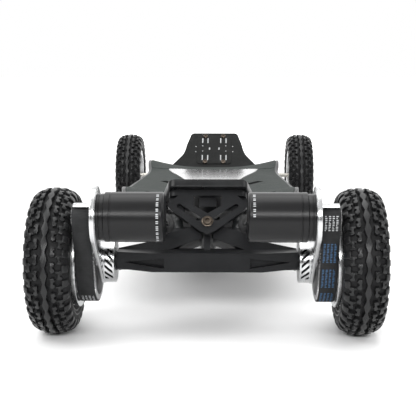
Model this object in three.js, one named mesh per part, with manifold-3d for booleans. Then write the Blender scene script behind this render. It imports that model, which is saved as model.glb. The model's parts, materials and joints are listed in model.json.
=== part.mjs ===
// All-terrain electric skateboard: concave deck with raised tips, two channel trucks that steer about
// inclined kingpins, four pneumatic wheels, and two belt-drive motors on the rear truck.
// Millimetres. +Z up, +Y towards the nose, +X to the rider's right when facing the nose.
// The origin is on the ground, under the centre of the board's bounding box.
import * as THREE from 'three';
import { mergeVertices } from 'three/addons/utils/BufferGeometryUtils.js';
import Module from 'manifold-3d';

const wasm = await Module();
wasm.setup();

// ---------------------------------------------------------------- driving dimensions
const GAP = 0.3; // clearance between pieces that touch

// Sides of a full circle on large, middling and small round shapes
const LARGE_SIDES = 24;
const SIDES = 16;
const SMALL_SIDES = 10;

// Wheels
const WHEELBASE = 990;
const TRACK = 411; // between the middles of the tyres
const TYRE_RADIUS = 100;
const TYRE_WIDTH = 59;
const TYRE_WALL = 6;
const TREAD_HALF = 6; // half width of the tread's level middle
const SHOULDER_SHARE = 0.78; // of the tyre's radius, where its wall is widest
const TREAD_EDGE_SHARE = 0.965;
const RIM_RADIUS = 54;
const RIM_WALL = 5;
const RIM_LIP = 7.5;
const RIM_LIP_THICKNESS = 3;
const RIM_INSET = 6.5; // from the tyre's side to the inner face of a rim's lip
const HUB_RADIUS = 20;
const SPOKE_COUNT = 5;
const SPOKE_WIDTH = 11;
const SPOKE_THICKNESS = 14;
const BEARING_RADIUS = 14;
const BEARING_LENGTH = 30;
const AXLE_RADIUS = 5;
const AXLE_PAST_TYRE = 22; // from a tyre's middle to the axle's tip
const AXLE_NUT_RADIUS = 8.5;
const AXLE_NUT_LENGTH = 7;
const COLLAR_RADIUS = 8;
const COLLAR_LENGTH = 6;

// Trucks, in a frame whose y runs inwards down the kingpin and whose z stands square to the deck's tip
const TIP_ANGLE = THREE.MathUtils.degToRad(35);
const AXLE_DROP = 53.3; // from the kingpin's line down to the axle
const BASE_HEIGHT = 48.8; // from the kingpin's line up to the base's top
const BASE_THICKNESS = 9;
const BASE_HALF_WIDTH = 55;
const BASE_OUTER = -13; // outer face of the V plate
const BASE_INNER = 92;
const V_PLATE_THICKNESS = 8;
const V_SLOT_WIDTH = 6.5;
const V_SLOT_INNER = [10, 2.5]; // ends of each slot's middle line
const V_SLOT_OUTER = [42.5, 25.6];
const V_POINT = 19.5; // the V plate's lowest point below the kingpin
const V_NOTCH_HALF = 19; // the notch between the V's arms
const V_NOTCH_DEPTH = 24;
const V_NOTCH_POINT = 12.5;
const V_CORNER = 14; // height of the chamfer on the V plate's upper corners
const RIB_HALF = 12; // the rib from the V plate to the lug
const RIB_HEIGHT = 14;
const SHELF_CORNER = 10;
const SHELF_HOLE_HALF = 30;
const SHELF_HOLE_EDGE = 22; // from the hole to the shelf's inner end
const WING_HALF_INNER = 33; // from the middle to the wings' inner faces
const LUG_THICKNESS = 10;
const LUG_HALF_WIDTH = 17;
const BOSS_RADIUS = 15;
const BOSS_LENGTH = 52;
const KINGPIN_RADIUS = 5;
const KINGPIN_HEAD_RADIUS = 8;
const KINGPIN_HEAD = 4.5;
const KINGPIN_SOCKET = 3.4;
const KINGPIN_SOCKET_DEPTH = 3;
const KINGPIN_NUT = 8;
const RUNNING_GAP = 1;
const ARM_DEPTH = 24;
const DAMPER_X = 44;
const DAMPER_RADIUS = 10.5;
const DAMPER_SEAT = -7; // height of the seat on the hanger's arm
const WING_BOTTOM = 18;
const WING_DEPTH = 34;
const SEAT_HALF = 11; // half width of a damper's seat
const SEAT_THICKNESS = 12;
const POST_HALF = 4.5; // half width of the post between the boss and the beam
const BEAM_FACE_HALF = 75; // half width of the beam's full-height face
const POCKET_DEPTH = 9; // of the triangular pockets in the beam's face
const POCKET_START = 58;
const POCKET_TIP = 112;
const STUB_LENGTH = 10; // of the round stub past each end of the hanger's beam
const STUB_RADIUS = 13;
const BEAM_BACK = 20;
const BEAM_FRONT = 14;
const BEAM_TOP = 14;
const BEAM_BOTTOM = 12;

// Deck
const DECK_THICKNESS = 12.5;
const TIP_OVERHANG = 21.8; // the tip's end past the kingpin frame's origin
const TIP_RISE = 57.5; // the tip's end above the deck's middle
const TIP_CORNER = 9;
const TIP_END_HALF = 55;
const CAMBER_ANGLE = THREE.MathUtils.degToRad(4.7);
const BEND_RADIUS = 30;
const MIDDLE_HALF_WIDTH = 140;
const REAR_FOOT_HALF_WIDTH = 145;
const FRONT_FOOT_HALF_WIDTH = 141;
const REAR_RAIL_RISE = 24; // height of the rear foot's edges over the deck's middle
const FRONT_RAIL_RISE = 20;
const GRIP_THICKNESS = 1.2;
const GRIP_INSET = 6;
const PANEL_THICKNESS = 1.8;
const PANEL_SEAM = 2.2;
const PANEL_FRONT = 185; // the panel's front corners, ahead of the deck's middle
const PANEL_BULGE = 20;
const PANEL_FRONT_HALF = 94;
const PANEL_NECK_HALF = 46;
const PANEL_NECK = -32;
const PANEL_REAR = -120;

// Enclosure under the deck
const TUB_HALF_WIDTH = 98;
const TUB_HALF_LENGTH = 232;
const TUB_CORNER = 26;
const TUB_FLOOR = 64; // below the deck's middle
const TUB_WALL = 3;
const TUB_FLANGE = 6;
const TUB_FLANGE_THICKNESS = 4;
const GASKET_THICKNESS = 2;
const PORT_Y = 150;
const PORT_DROP = 44; // centre of the port and button below the deck's middle
const PORT_RADIUS = 9;
const PORT_FLANGE_RADIUS = 12.5;
const SOCKET_RADIUS = 6.5;
const PORT_FLANGE_THICKNESS = 2.5;
const PORT_DEPTH = 12; // of the port's body inside the shell's side
const SOCKET_DEPTH = 9;
const CAP_THICKNESS = 3;
const EAR_HALF_WIDTH = 5;
const EAR_HEIGHT = 3.5;
const BUTTON_Y = 105;
const BUTTON_RADIUS = 7;
const BUTTON_PROUD = 2.8;

// Drive
const PITCH = 5; // belt tooth pitch
const WHEEL_TEETH = 68;
const MOTOR_TEETH = 17;
const TOOTH_DEPTH = 1.9;
const PITCH_LINE = 0.7; // from a tooth's tip out to the belt's pitch line
const BELT_THICKNESS = 1.9;
const BELT_WIDTH = 23;
const PULLEY_WIDTH = 25;
const PULLEY_TO_TYRE = 58.5; // from the inner face of both pulleys to the tyre's middle
const PULLEY_BOSS = 18;
const GUIDE_RADIUS = 63;
const GUIDE_THICKNESS = 6;
const MOTOR_BACK = 68; // motor axis behind the axle
const MOTOR_UP = 71.5; // motor axis above the axle
const MOTOR_RADIUS = 32.2;
const MOTOR_LENGTH = 76;
const MOTOR_CAP_LENGTH = 10;
const MOTOR_WALL = 3;
const MOTOR_CAP_RADIUS = 30.2;
const MOTOR_CHAMFER = 3;
const MOTOR_END_WALL = 4;
const SPIGOT_LENGTH = 5;
const ROTOR_RADIUS = 26;
const SHAFT_RADIUS = 4;
const MOUNT_THICKNESS = 6;
const MOUNT_CLEARANCE = 2; // between the mount's plate and the pulleys
const MOUNT_HEAD_RADIUS = 40;
const MOUNT_FOOT_RADIUS = 31;
const CLAMP_LENGTH = 15;
const CLAMP_RADIUS = 30;
const CLAMP_COVER = 8; // length of the stub inside the clamp
const CLAMP_SLOT_WIDTH = 3.6;
const CLAMP_SLOT_DEPTH = 3;
const CLAMP_SLOT_PITCH = 9;
const SHAFT_HOLE_RADIUS = 11;
const CABLE_STEPS = 26;
const CABLE_SIDES = 8;
const CABLE_RADIUS = 4.5;

// ---------------------------------------------------------------- places that follow from the sizes
const REAR_REACH = Math.max(TYRE_RADIUS, MOTOR_BACK + MOUNT_HEAD_RADIUS);
const MIDDLE_Y = (REAR_REACH - TYRE_RADIUS) / 2;
const REAR_AXLE_Y = MIDDLE_Y - WHEELBASE / 2;
const FRONT_AXLE_Y = MIDDLE_Y + WHEELBASE / 2;
const TIP_SIN = Math.sin(TIP_ANGLE);
const TIP_COS = Math.cos(TIP_ANGLE);
const KINGPIN_FRAME = new THREE.Matrix4()
  .makeTranslation(0, AXLE_DROP * TIP_SIN, AXLE_DROP * TIP_COS)
  .multiply(new THREE.Matrix4().makeRotationX(-TIP_ANGLE));
const LUG_START = BASE_OUTER + V_PLATE_THICKNESS + RUNNING_GAP + BOSS_LENGTH + RUNNING_GAP;
const TIP_TOP = BASE_HEIGHT + GAP + DECK_THICKNESS;
const TIP_END = new THREE.Vector3(0, -TIP_OVERHANG, TIP_TOP).applyMatrix4(KINGPIN_FRAME);
const DECK_HALF = WHEELBASE / 2 - TIP_END.y;
const DECK_MIDDLE_Z = TYRE_RADIUS + TIP_END.z - TIP_RISE;
const TRACK_HALF = TRACK / 2;
const WHEEL_PITCH_RADIUS = (WHEEL_TEETH * PITCH) / (2 * Math.PI);
const MOTOR_PITCH_RADIUS = (MOTOR_TEETH * PITCH) / (2 * Math.PI);
const PULLEY_INNER = TRACK_HALF - PULLEY_TO_TYRE;
const BELT_START = PULLEY_INNER + (PULLEY_WIDTH - BELT_WIDTH) / 2;
const MOUNT_INNER = PULLEY_INNER - MOUNT_CLEARANCE - MOUNT_THICKNESS;
const CLAMP_INNER = MOUNT_INNER - CLAMP_LENGTH;
const STUB_END = CLAMP_INNER + CLAMP_COVER;
const BEAM_END = STUB_END - STUB_LENGTH;
const MOTOR_OUTER = MOUNT_INNER - MOTOR_CAP_LENGTH;
const MOTOR_INNER = MOTOR_OUTER - MOTOR_LENGTH;
const AXLE_END = TRACK_HALF + AXLE_PAST_TYRE;
const SLEEVE_HALF = BEARING_LENGTH / 2 + 1; // half length of a hub's sleeve

// ---------------------------------------------------------------- finishes
const finish = (color, roughness, metalness) => {
  return new THREE.MeshStandardMaterial({ color, roughness, metalness });
};
const FINISH = {
  deck: finish(0x15171a, 0.55, 0.1),
  grip: finish(0x4b504d, 0.95, 0.0),
  gloss: finish(0x08080a, 0.08, 0.2),
  plastic: finish(0x17181a, 0.5, 0.0),
  truck: finish(0x222326, 0.42, 0.7),
  silver: finish(0xc9cbce, 0.3, 0.95),
  steel: finish(0x8d8b86, 0.35, 0.95),
  motor: finish(0x141416, 0.3, 0.6),
  rubber: finish(0x161616, 0.85, 0.0),
  belt: finish(0x25272a, 0.75, 0.0),
  urethane: finish(0x1b1c1d, 0.6, 0.0),
  cell: finish(0x2c4a6b, 0.6, 0.0),
};

// ---------------------------------------------------------------- geometry helpers
// Position-only geometry with shared vertices and no collapsed triangles.
function bare(geometry) {
  const copy = geometry.clone();
  copy.deleteAttribute('normal');
  copy.deleteAttribute('uv');
  const merged = mergeVertices(copy, 1e-3);
  const kept = [];
  const index = merged.index.array;
  for (let i = 0; i < index.length; i += 3) {
    const [a, b, c] = [index[i], index[i + 1], index[i + 2]];
    if (a !== b && b !== c && c !== a) kept.push(a, b, c);
  }
  merged.setIndex(kept);
  return merged;
}

function toSolid(geometry) {
  const clean = bare(geometry);
  const mesh = new wasm.Mesh({
    numProp: 3,
    vertProperties: new Float32Array(clean.attributes.position.array),
    triVerts: new Uint32Array(clean.index.array),
  });
  return new wasm.Manifold(mesh);
}

function toGeometry(manifold) {
  const mesh = manifold.getMesh();
  const geometry = new THREE.BufferGeometry();
  geometry.setAttribute('position', new THREE.BufferAttribute(new Float32Array(mesh.vertProperties), 3));
  geometry.setIndex([...mesh.triVerts]);
  return geometry;
}

function join(...pieces) {
  return toGeometry(pieces.map(toSolid).reduce((whole, piece) => whole.add(piece)));
}

function cut(base, ...tools) {
  return toGeometry(tools.map(toSolid).reduce((whole, tool) => whole.subtract(tool), toSolid(base)));
}

function common(first, second) {
  return toGeometry(toSolid(first).intersect(toSolid(second)));
}

// The mirror image across the plane x = 0, with its faces still pointing out.
function mirrored(geometry) {
  const copy = bare(geometry);
  copy.scale(-1, 1, 1);
  const index = copy.index.array;
  for (let i = 0; i < index.length; i += 3) {
    [index[i], index[i + 1]] = [index[i + 1], index[i]];
  }
  return copy;
}

function box(x0, x1, y0, y1, z0, z1) {
  const geometry = new THREE.BoxGeometry(x1 - x0, y1 - y0, z1 - z0);
  return geometry.translate((x0 + x1) / 2, (y0 + y1) / 2, (z0 + z1) / 2);
}

// Round bars between two places on their axis.
function rodX(radius, x0, x1, sides) {
  const geometry = new THREE.CylinderGeometry(radius, radius, x1 - x0, sides).rotateZ(-Math.PI / 2);
  return geometry.translate((x0 + x1) / 2, 0, 0);
}

function rodY(radius, y0, y1, sides) {
  const geometry = new THREE.CylinderGeometry(radius, radius, y1 - y0, sides);
  return geometry.translate(0, (y0 + y1) / 2, 0);
}

function rodZ(radius, z0, z1, sides) {
  const geometry = new THREE.CylinderGeometry(radius, radius, z1 - z0, sides).rotateX(Math.PI / 2);
  return geometry.translate(0, 0, (z0 + z1) / 2);
}

// A solid of revolution about X; each point is [x, radius].
function turnedX(points, sides) {
  const outline = points.map(([x, radius]) => new THREE.Vector2(radius, x));
  const lathe = toOutward(new THREE.LatheGeometry(outline, sides));
  return lathe.rotateZ(-Math.PI / 2);
}

// Turns every face over where the profile's direction left the solid inside out.
function toOutward(geometry) {
  const copy = bare(geometry);
  const position = copy.attributes.position;
  const index = copy.index.array;
  const [a, b, c] = [new THREE.Vector3(), new THREE.Vector3(), new THREE.Vector3()];
  let volume = 0;
  for (let i = 0; i < index.length; i += 3) {
    a.fromBufferAttribute(position, index[i]);
    b.fromBufferAttribute(position, index[i + 1]);
    c.fromBufferAttribute(position, index[i + 2]);
    volume += a.dot(b.cross(c));
  }
  if (volume > 0) return copy;
  for (let i = 0; i < index.length; i += 3) {
    [index[i], index[i + 1]] = [index[i + 1], index[i]];
  }
  return copy;
}

const outlineOf = (points) => new THREE.Shape(points.map(([x, y]) => new THREE.Vector2(x, y)));

function extruded(outline, depth, curveSegments) {
  return new THREE.ExtrudeGeometry(outline, { depth, bevelEnabled: false, curveSegments });
}

// Outlines drawn in the XY, XZ and YZ planes, given thickness along the third axis.
function slabZ(outline, z0, z1, curveSegments = 8) {
  return extruded(outline, z1 - z0, curveSegments).translate(0, 0, z0);
}

function slabY(outline, y0, y1, curveSegments = 8) {
  return extruded(outline, y1 - y0, curveSegments).rotateX(Math.PI / 2).translate(0, y1, 0);
}

function slabX(outline, x0, x1, curveSegments = 8) {
  const axes = new THREE.Matrix4().makeBasis(
    new THREE.Vector3(0, 1, 0),
    new THREE.Vector3(0, 0, 1),
    new THREE.Vector3(1, 0, 0),
  );
  return extruded(outline, x1 - x0, curveSegments).applyMatrix4(axes).translate(x0, 0, 0);
}

// A rectangle with rounded corners, centred on (cx, cy).
function roundedRectangle(halfX, halfY, radius, cx = 0, cy = 0) {
  const shape = new THREE.Shape();
  shape.absarc(cx + halfX - radius, cy + halfY - radius, radius, 0, Math.PI / 2);
  shape.absarc(cx - halfX + radius, cy + halfY - radius, radius, Math.PI / 2, Math.PI);
  shape.absarc(cx - halfX + radius, cy - halfY + radius, radius, Math.PI, 1.5 * Math.PI);
  shape.absarc(cx + halfX - radius, cy - halfY + radius, radius, 1.5 * Math.PI, 2 * Math.PI);
  return shape;
}

// The outline round two circles and the straight lines that touch both, like a belt's path.
function beltOutline(first, firstRadius, second, secondRadius, sides) {
  const across = new THREE.Vector2().subVectors(second, first);
  const heading = across.angle();
  const spread = Math.acos((firstRadius - secondRadius) / across.length());
  const points = [];
  const arc = (centre, radius, from, to, steps) => {
    const step = (to - from) / steps;
    const reach = radius / Math.cos(step / 2); // so that the flats, not the corners, lie on the circle
    for (let i = 0; i <= steps; i += 1) {
      const angle = from + step * i;
      points.push([centre.x + reach * Math.cos(angle), centre.y + reach * Math.sin(angle)]);
    }
  };
  arc(first, firstRadius, heading + spread, heading + 2 * Math.PI - spread, sides);
  arc(second, secondRadius, heading - spread, heading + spread, Math.ceil(sides / 2));
  return outlineOf(points);
}

// Moves each corner of an outline outwards so that every side shifts by the same distance.
function grown(points, distance) {
  const count = points.length;
  return points.map(([x, y], i) => {
    const before = points[(i + count - 1) % count];
    const after = points[(i + 1) % count];
    const into = new THREE.Vector2(x - before[0], y - before[1]).normalize();
    const out = new THREE.Vector2(after[0] - x, after[1] - y).normalize();
    const side = new THREE.Vector2(into.y + out.y, -into.x - out.x).normalize();
    const reach = distance / side.dot(new THREE.Vector2(into.y, -into.x));
    return [x + side.x * reach, y + side.y * reach];
  });
}

// A smooth height through named points, each [place, height], flat past both ends.
function smoothThrough(points, place) {
  const last = points.length - 1;
  if (place <= points[0][0]) return points[0][1];
  if (place >= points[last][0]) return points[last][1];
  const i = points.findIndex(([at]) => at > place) - 1;
  const slope = (k) => {
    const before = points[Math.max(k - 1, 0)];
    const after = points[Math.min(k + 1, last)];
    return (after[1] - before[1]) / (after[0] - before[0]);
  };
  const span = points[i + 1][0] - points[i][0];
  const t = (place - points[i][0]) / span;
  const rise = points[i + 1][1] - points[i][1];
  const start = slope(i) * span;
  const end = slope(i + 1) * span;
  const cubic = start + end - 2 * rise;
  return points[i][1] + t * (start + t * (3 * rise - 2 * start - end + t * cubic));
}

// A closed block over a grid of stations and places across, between two levels.
function gridBlock(stations, across, pointAt) {
  const positions = [];
  const index = [];
  const columns = across.length;
  const layer = stations.length * columns;
  for (const level of [0, 1]) {
    for (const station of stations) {
      for (const place of across) positions.push(...pointAt(station, place, level));
    }
  }
  const quad = (a, b, c, d) => index.push(a, b, c, a, c, d);
  for (let i = 0; i + 1 < stations.length; i += 1) {
    for (let j = 0; j + 1 < columns; j += 1) {
      const a = i * columns + j;
      quad(a, a + columns, a + columns + 1, a + 1);
      quad(layer + a, layer + a + 1, layer + a + columns + 1, layer + a + columns);
    }
    const left = i * columns;
    const right = left + columns - 1;
    quad(left, layer + left, layer + left + columns, left + columns);
    quad(right, right + columns, layer + right + columns, layer + right);
  }
  const end = (stations.length - 1) * columns;
  for (let j = 0; j + 1 < columns; j += 1) {
    quad(j, j + 1, layer + j + 1, layer + j);
    quad(end + j, layer + end + j, layer + end + j + 1, end + j + 1);
  }
  const geometry = new THREE.BufferGeometry();
  geometry.setAttribute('position', new THREE.Float32BufferAttribute(positions, 3));
  geometry.setIndex(index);
  return geometry;
}

const inKingpinFrame = (geometry) => geometry.applyMatrix4(KINGPIN_FRAME);

// ---------------------------------------------------------------- deck
// Half of the deck's side view is a shallow camber arc, a tight bend and a straight tip.
const BEND_RUN = BEND_RADIUS * (Math.sin(CAMBER_ANGLE) + TIP_SIN);
const BEND_RISE = BEND_RADIUS * (Math.cos(CAMBER_ANGLE) - TIP_COS);
const TIP_SLOPE = Math.tan(TIP_ANGLE);
const CAMBER_REACH =
  (TIP_SLOPE * (DECK_HALF - BEND_RUN) - (TIP_RISE - BEND_RISE)) / (TIP_SLOPE + Math.tan(CAMBER_ANGLE / 2));
const CAMBER_RADIUS = CAMBER_REACH / Math.sin(CAMBER_ANGLE);
const CAMBER_LENGTH = CAMBER_RADIUS * CAMBER_ANGLE;
const BEND_LENGTH = BEND_RADIUS * (CAMBER_ANGLE + TIP_ANGLE);
const TIP_LENGTH = (DECK_HALF - BEND_RUN - CAMBER_REACH) / TIP_COS;
const DECK_RUN = CAMBER_LENGTH + BEND_LENGTH + TIP_LENGTH;

// The point and slope of the side view at a distance along it from the deck's middle.
function deckProfile(along) {
  const away = Math.abs(along);
  const side = Math.sign(along) || 1;
  let slope = -away / CAMBER_RADIUS;
  let y = CAMBER_RADIUS * Math.sin(-slope);
  let z = -CAMBER_RADIUS * (1 - Math.cos(slope));
  if (away > CAMBER_LENGTH) {
    const turned = Math.min(away - CAMBER_LENGTH, BEND_LENGTH) / BEND_RADIUS;
    slope = turned - CAMBER_ANGLE;
    y = CAMBER_REACH + BEND_RADIUS * (Math.sin(CAMBER_ANGLE) + Math.sin(slope));
    z = -CAMBER_REACH * Math.tan(CAMBER_ANGLE / 2) + BEND_RADIUS * (Math.cos(CAMBER_ANGLE) - Math.cos(slope));
  }
  const straight = Math.max(away - CAMBER_LENGTH - BEND_LENGTH, 0);
  y += straight * TIP_COS;
  z += straight * TIP_SIN;
  return { y: side * y, z: DECK_MIDDLE_Z + z, normalY: -side * Math.sin(slope), normalZ: Math.cos(slope) };
}

// Half width at a place along the deck. The front foot is a little narrower than the rear one, with a neck
// behind it.
function deckHalfWidth(along) {
  const fromTip = DECK_RUN - Math.abs(along);
  const tip = [
    [0, TIP_END_HALF],
    [12, TIP_END_HALF + 2],
    [40, 64],
    [62, 68],
    [78, 73],
    [98, 85],
    [124, 102],
  ];
  const rearFoot = [
    [170, REAR_FOOT_HALF_WIDTH - 17],
    [225, REAR_FOOT_HALF_WIDTH - 1],
    [285, REAR_FOOT_HALF_WIDTH],
  ];
  const frontFoot = [
    [170, FRONT_FOOT_HALF_WIDTH - 12],
    [215, FRONT_FOOT_HALF_WIDTH],
    [300, FRONT_FOOT_HALF_WIDTH - 6],
  ];
  const widths = [...tip, ...(along < 0 ? rearFoot : frontFoot), [DECK_RUN, MIDDLE_HALF_WIDTH]];
  const round = Math.max(TIP_CORNER - fromTip, 0);
  const rounding = TIP_CORNER - Math.sqrt(TIP_CORNER ** 2 - round ** 2);
  return smoothThrough(widths, fromTip) - rounding;
}

// Height of the deck's edges over its middle at a place along the deck: low at the waist, high at both feet.
function railRise(along) {
  const rearFoot = [
    [165, REAR_RAIL_RISE * 0.55],
    [205, REAR_RAIL_RISE * 0.95],
    [240, REAR_RAIL_RISE],
    [320, REAR_RAIL_RISE * 0.4],
  ];
  const frontFoot = [
    [165, FRONT_RAIL_RISE * 0.6],
    [205, FRONT_RAIL_RISE],
    [240, FRONT_RAIL_RISE * 0.85],
    [320, 0],
  ];
  const rises = [[120, 0], ...(along < 0 ? rearFoot : frontFoot), [DECK_RUN, 0]];
  return smoothThrough(rises, DECK_RUN - Math.abs(along));
}

function deckPoint(along, share, offset) {
  const profile = deckProfile(along);
  const lift = offset + railRise(along) * share * share;
  return [
    share * deckHalfWidth(along),
    profile.y + lift * profile.normalY,
    profile.z + lift * profile.normalZ,
  ];
}

const ACROSS = [-1, -0.7, -0.35, 0, 0.35, 0.7, 1];

// A layer that follows the deck's top surface between two offsets from it.
function deckLayer(stations, low, high) {
  const offsets = [low, high];
  return gridBlock(stations, ACROSS, (along, share, level) => deckPoint(along, share, offsets[level]));
}

function evenSteps(from, to, steps) {
  return Array.from({ length: steps }, (_, i) => from + ((to - from) * i) / steps);
}

function deckStations() {
  const corner = [0, 1, 2, 3].map((step) => TIP_CORNER * (1 - Math.cos((step * Math.PI) / 8)));
  const tip = evenSteps(TIP_CORNER, TIP_LENGTH, 5);
  const bend = evenSteps(TIP_LENGTH, TIP_LENGTH + BEND_LENGTH, 3);
  const camber = evenSteps(TIP_LENGTH + BEND_LENGTH, DECK_RUN, 7);
  const half = [...corner, ...tip, ...bend, ...camber].map((fromTip) => DECK_RUN - fromTip);
  return [...half.map((along) => -along), 0, ...half.reverse()];
}

const BOLT_PLACES = [
  [21, 16],
  [21, 108],
];

// Bolt places on a tip, as [x, y in the kingpin frame], on both sides.
function boltPlaces() {
  return BOLT_PLACES.flatMap(([x, fromTip]) => [-x, x].map((side) => [side, fromTip - TIP_OVERHANG]));
}

const BOLT_RADIUS = 3;
const BOLT_PLATE_HALF = 40;
const BOLT_PLATE_THICKNESS = 1.6;
const BOLT_HEAD_RADIUS = 5.5;
const BOLT_HEAD_HEIGHT = 3;

function boltHoles(low, high) {
  return boltPlaces().map(([x, y]) => rodZ(BOLT_RADIUS + GAP, low, high, SMALL_SIDES).translate(x, y, 0));
}

function makeDeck() {
  const body = deckLayer(deckStations(), -DECK_THICKNESS, 0);
  const holes = boltHoles(BASE_HEIGHT - 5, TIP_TOP + 5).map(inKingpinFrame);
  const holesRear = holes.map((hole) => hole.clone().translate(0, -WHEELBASE / 2, TYRE_RADIUS));
  const holesFront = holesRear.map((hole) => hole.clone().rotateZ(Math.PI));
  return cut(body, ...holesRear, ...holesFront);
}

function panelOutline() {
  return [
    [PANEL_NECK_HALF, PANEL_REAR],
    [PANEL_NECK_HALF, PANEL_NECK],
    [PANEL_FRONT_HALF, PANEL_FRONT],
    [PANEL_FRONT_HALF / 2, PANEL_FRONT + PANEL_BULGE * 0.85],
    [0, PANEL_FRONT + PANEL_BULGE],
    [-PANEL_FRONT_HALF / 2, PANEL_FRONT + PANEL_BULGE * 0.85],
    [-PANEL_FRONT_HALF, PANEL_FRONT],
    [-PANEL_NECK_HALF, PANEL_NECK],
    [-PANEL_NECK_HALF, PANEL_REAR],
  ];
}

const LAYER_STATIONS = deckStations().filter((along) => Math.abs(along) < CAMBER_LENGTH + 1);
const TALL = 400;

// A skin on the deck's top between the bends, a little narrower than the deck.
function topLayer(thickness) {
  const right = LAYER_STATIONS.map((along) => {
    return [deckHalfWidth(along) - GRIP_INSET, deckProfile(along).y];
  });
  const left = right.map(([x, y]) => [-x, y]).reverse();
  const plan = slabZ(outlineOf([...right, ...left]), 0, TALL);
  return common(deckLayer(LAYER_STATIONS, GAP, GAP + thickness), plan);
}

function makePanel() {
  const layer = topLayer(PANEL_THICKNESS);
  return common(layer, slabZ(outlineOf(panelOutline()), 0, TALL));
}

function makeGrip(front) {
  const layer = topLayer(GRIP_THICKNESS);
  const window = slabZ(outlineOf(grown(panelOutline(), PANEL_SEAM)), 0, TALL);
  const far = WHEELBASE;
  const other = front
    ? box(-far, far, -far, PANEL_FRONT, 0, TALL)
    : box(-far, far, PANEL_FRONT - PANEL_SEAM, far, 0, TALL);
  return cut(layer, window, other);
}

// ---------------------------------------------------------------- enclosure under the deck
const UNDER = -DECK_THICKNESS - GAP;
const FLANGE_TOP = UNDER - GASKET_THICKNESS - GAP;
const FLOOR_Z = DECK_MIDDLE_Z - TUB_FLOOR;
const PORT_Z = DECK_MIDDLE_Z - PORT_DROP;
const CABLE_Z = DECK_MIDDLE_Z - 46;
const CABLE_X = 60;

const tubOutline = (extra) =>
  roundedRectangle(TUB_HALF_WIDTH + extra, TUB_HALF_LENGTH + extra, TUB_CORNER + extra);

function makeEnclosure() {
  const outside = slabZ(tubOutline(0), FLOOR_Z, DECK_MIDDLE_Z, 3);
  const hollow = slabZ(tubOutline(-TUB_WALL), FLOOR_Z + TUB_WALL, TALL + 1, 3);
  const above = deckLayer(LAYER_STATIONS, FLANGE_TOP, TALL / 2);
  const flangeBand = deckLayer(LAYER_STATIONS, FLANGE_TOP - TUB_FLANGE_THICKNESS, FLANGE_TOP);
  const flange = common(flangeBand, slabZ(tubOutline(TUB_FLANGE), 0, TALL, 3));
  const throughSide = [TUB_HALF_WIDTH - 2 * TUB_WALL, TUB_HALF_WIDTH + 2 * TUB_FLANGE];
  const port = rodX(PORT_RADIUS + GAP, ...throughSide, SIDES);
  const button = rodX(BUTTON_RADIUS + GAP, ...throughSide, SIDES);
  const glands = [-CABLE_X, CABLE_X].map((x) => {
    const hole = rodY(CABLE_RADIUS + GAP, -TUB_WALL, 2 * TUB_WALL, SMALL_SIDES);
    return hole.translate(x, -TUB_HALF_LENGTH, CABLE_Z);
  });
  const tub = cut(outside, above);
  port.translate(0, PORT_Y, PORT_Z);
  button.translate(0, BUTTON_Y, PORT_Z);
  return cut(join(tub, flange), hollow, port, button, ...glands);
}

function makeGasket() {
  const band = deckLayer(LAYER_STATIONS, UNDER - GASKET_THICKNESS, UNDER);
  const rim = common(band, slabZ(tubOutline(TUB_FLANGE), 0, TALL, 3));
  return cut(rim, slabZ(tubOutline(-TUB_WALL), 0, TALL, 3));
}

const BATTERY_HALF_WIDTH = 82;
const BATTERY_REAR = -190;
const BATTERY_FRONT = 70;
const BATTERY_HEIGHT = 36;
const CONTROLLER_HALF_WIDTH = 45;
const CONTROLLER_REAR = 88;
const CONTROLLER_FRONT = 200;
const CONTROLLER_HEIGHT = 24;
const FIN_COUNT = 7;
const FIN_GROOVE_HALF = 2;
const FIN_GROOVE_DEPTH = 6;
const BATTERY_CORNER = 9;
const INNER_FLOOR = FLOOR_Z + TUB_WALL + GAP;

function makeBattery() {
  const halfLength = (BATTERY_FRONT - BATTERY_REAR) / 2;
  const middle = BATTERY_REAR + halfLength;
  const outline = roundedRectangle(BATTERY_HALF_WIDTH, halfLength, BATTERY_CORNER, 0, middle);
  return slabZ(outline, INNER_FLOOR, INNER_FLOOR + BATTERY_HEIGHT, 4);
}

function makeController() {
  const top = INNER_FLOOR + CONTROLLER_HEIGHT;
  const body = box(-CONTROLLER_HALF_WIDTH, CONTROLLER_HALF_WIDTH, CONTROLLER_REAR, CONTROLLER_FRONT,
    INNER_FLOOR, top);
  const pitch = (2 * CONTROLLER_HALF_WIDTH) / FIN_COUNT;
  const grooves = Array.from({ length: FIN_COUNT - 1 }, (_, i) => {
    const x = -CONTROLLER_HALF_WIDTH + pitch * (i + 1);
    return box(x - FIN_GROOVE_HALF, x + FIN_GROOVE_HALF, CONTROLLER_REAR - 1, CONTROLLER_FRONT + 1,
      top - FIN_GROOVE_DEPTH, top + 1);
  });
  return cut(body, ...grooves);
}

// The charge port is a flanged ring with a blind socket that faces outwards.
function makePort() {
  const face = TUB_HALF_WIDTH + GAP + PORT_FLANGE_THICKNESS;
  const profile = [
    [TUB_HALF_WIDTH - PORT_DEPTH, 0],
    [TUB_HALF_WIDTH - PORT_DEPTH, PORT_RADIUS],
    [TUB_HALF_WIDTH + GAP, PORT_RADIUS],
    [TUB_HALF_WIDTH + GAP, PORT_FLANGE_RADIUS],
    [face, PORT_FLANGE_RADIUS],
    [face, SOCKET_RADIUS],
    [TUB_HALF_WIDTH - SOCKET_DEPTH, SOCKET_RADIUS],
    [TUB_HALF_WIDTH - SOCKET_DEPTH, 0],
  ];
  return turnedX(profile, SIDES);
}

const CAP_INNER = TUB_HALF_WIDTH + 2 * GAP + PORT_FLANGE_THICKNESS;

// The cap lies over the port, with its hinge ear above.
function makeCap() {
  const outer = CAP_INNER + CAP_THICKNESS;
  const ear = box(CAP_INNER, outer, -EAR_HALF_WIDTH, EAR_HALF_WIDTH, 0, PORT_FLANGE_RADIUS + EAR_HEIGHT);
  return join(rodX(PORT_FLANGE_RADIUS, CAP_INNER, outer, SIDES), ear);
}

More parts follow.
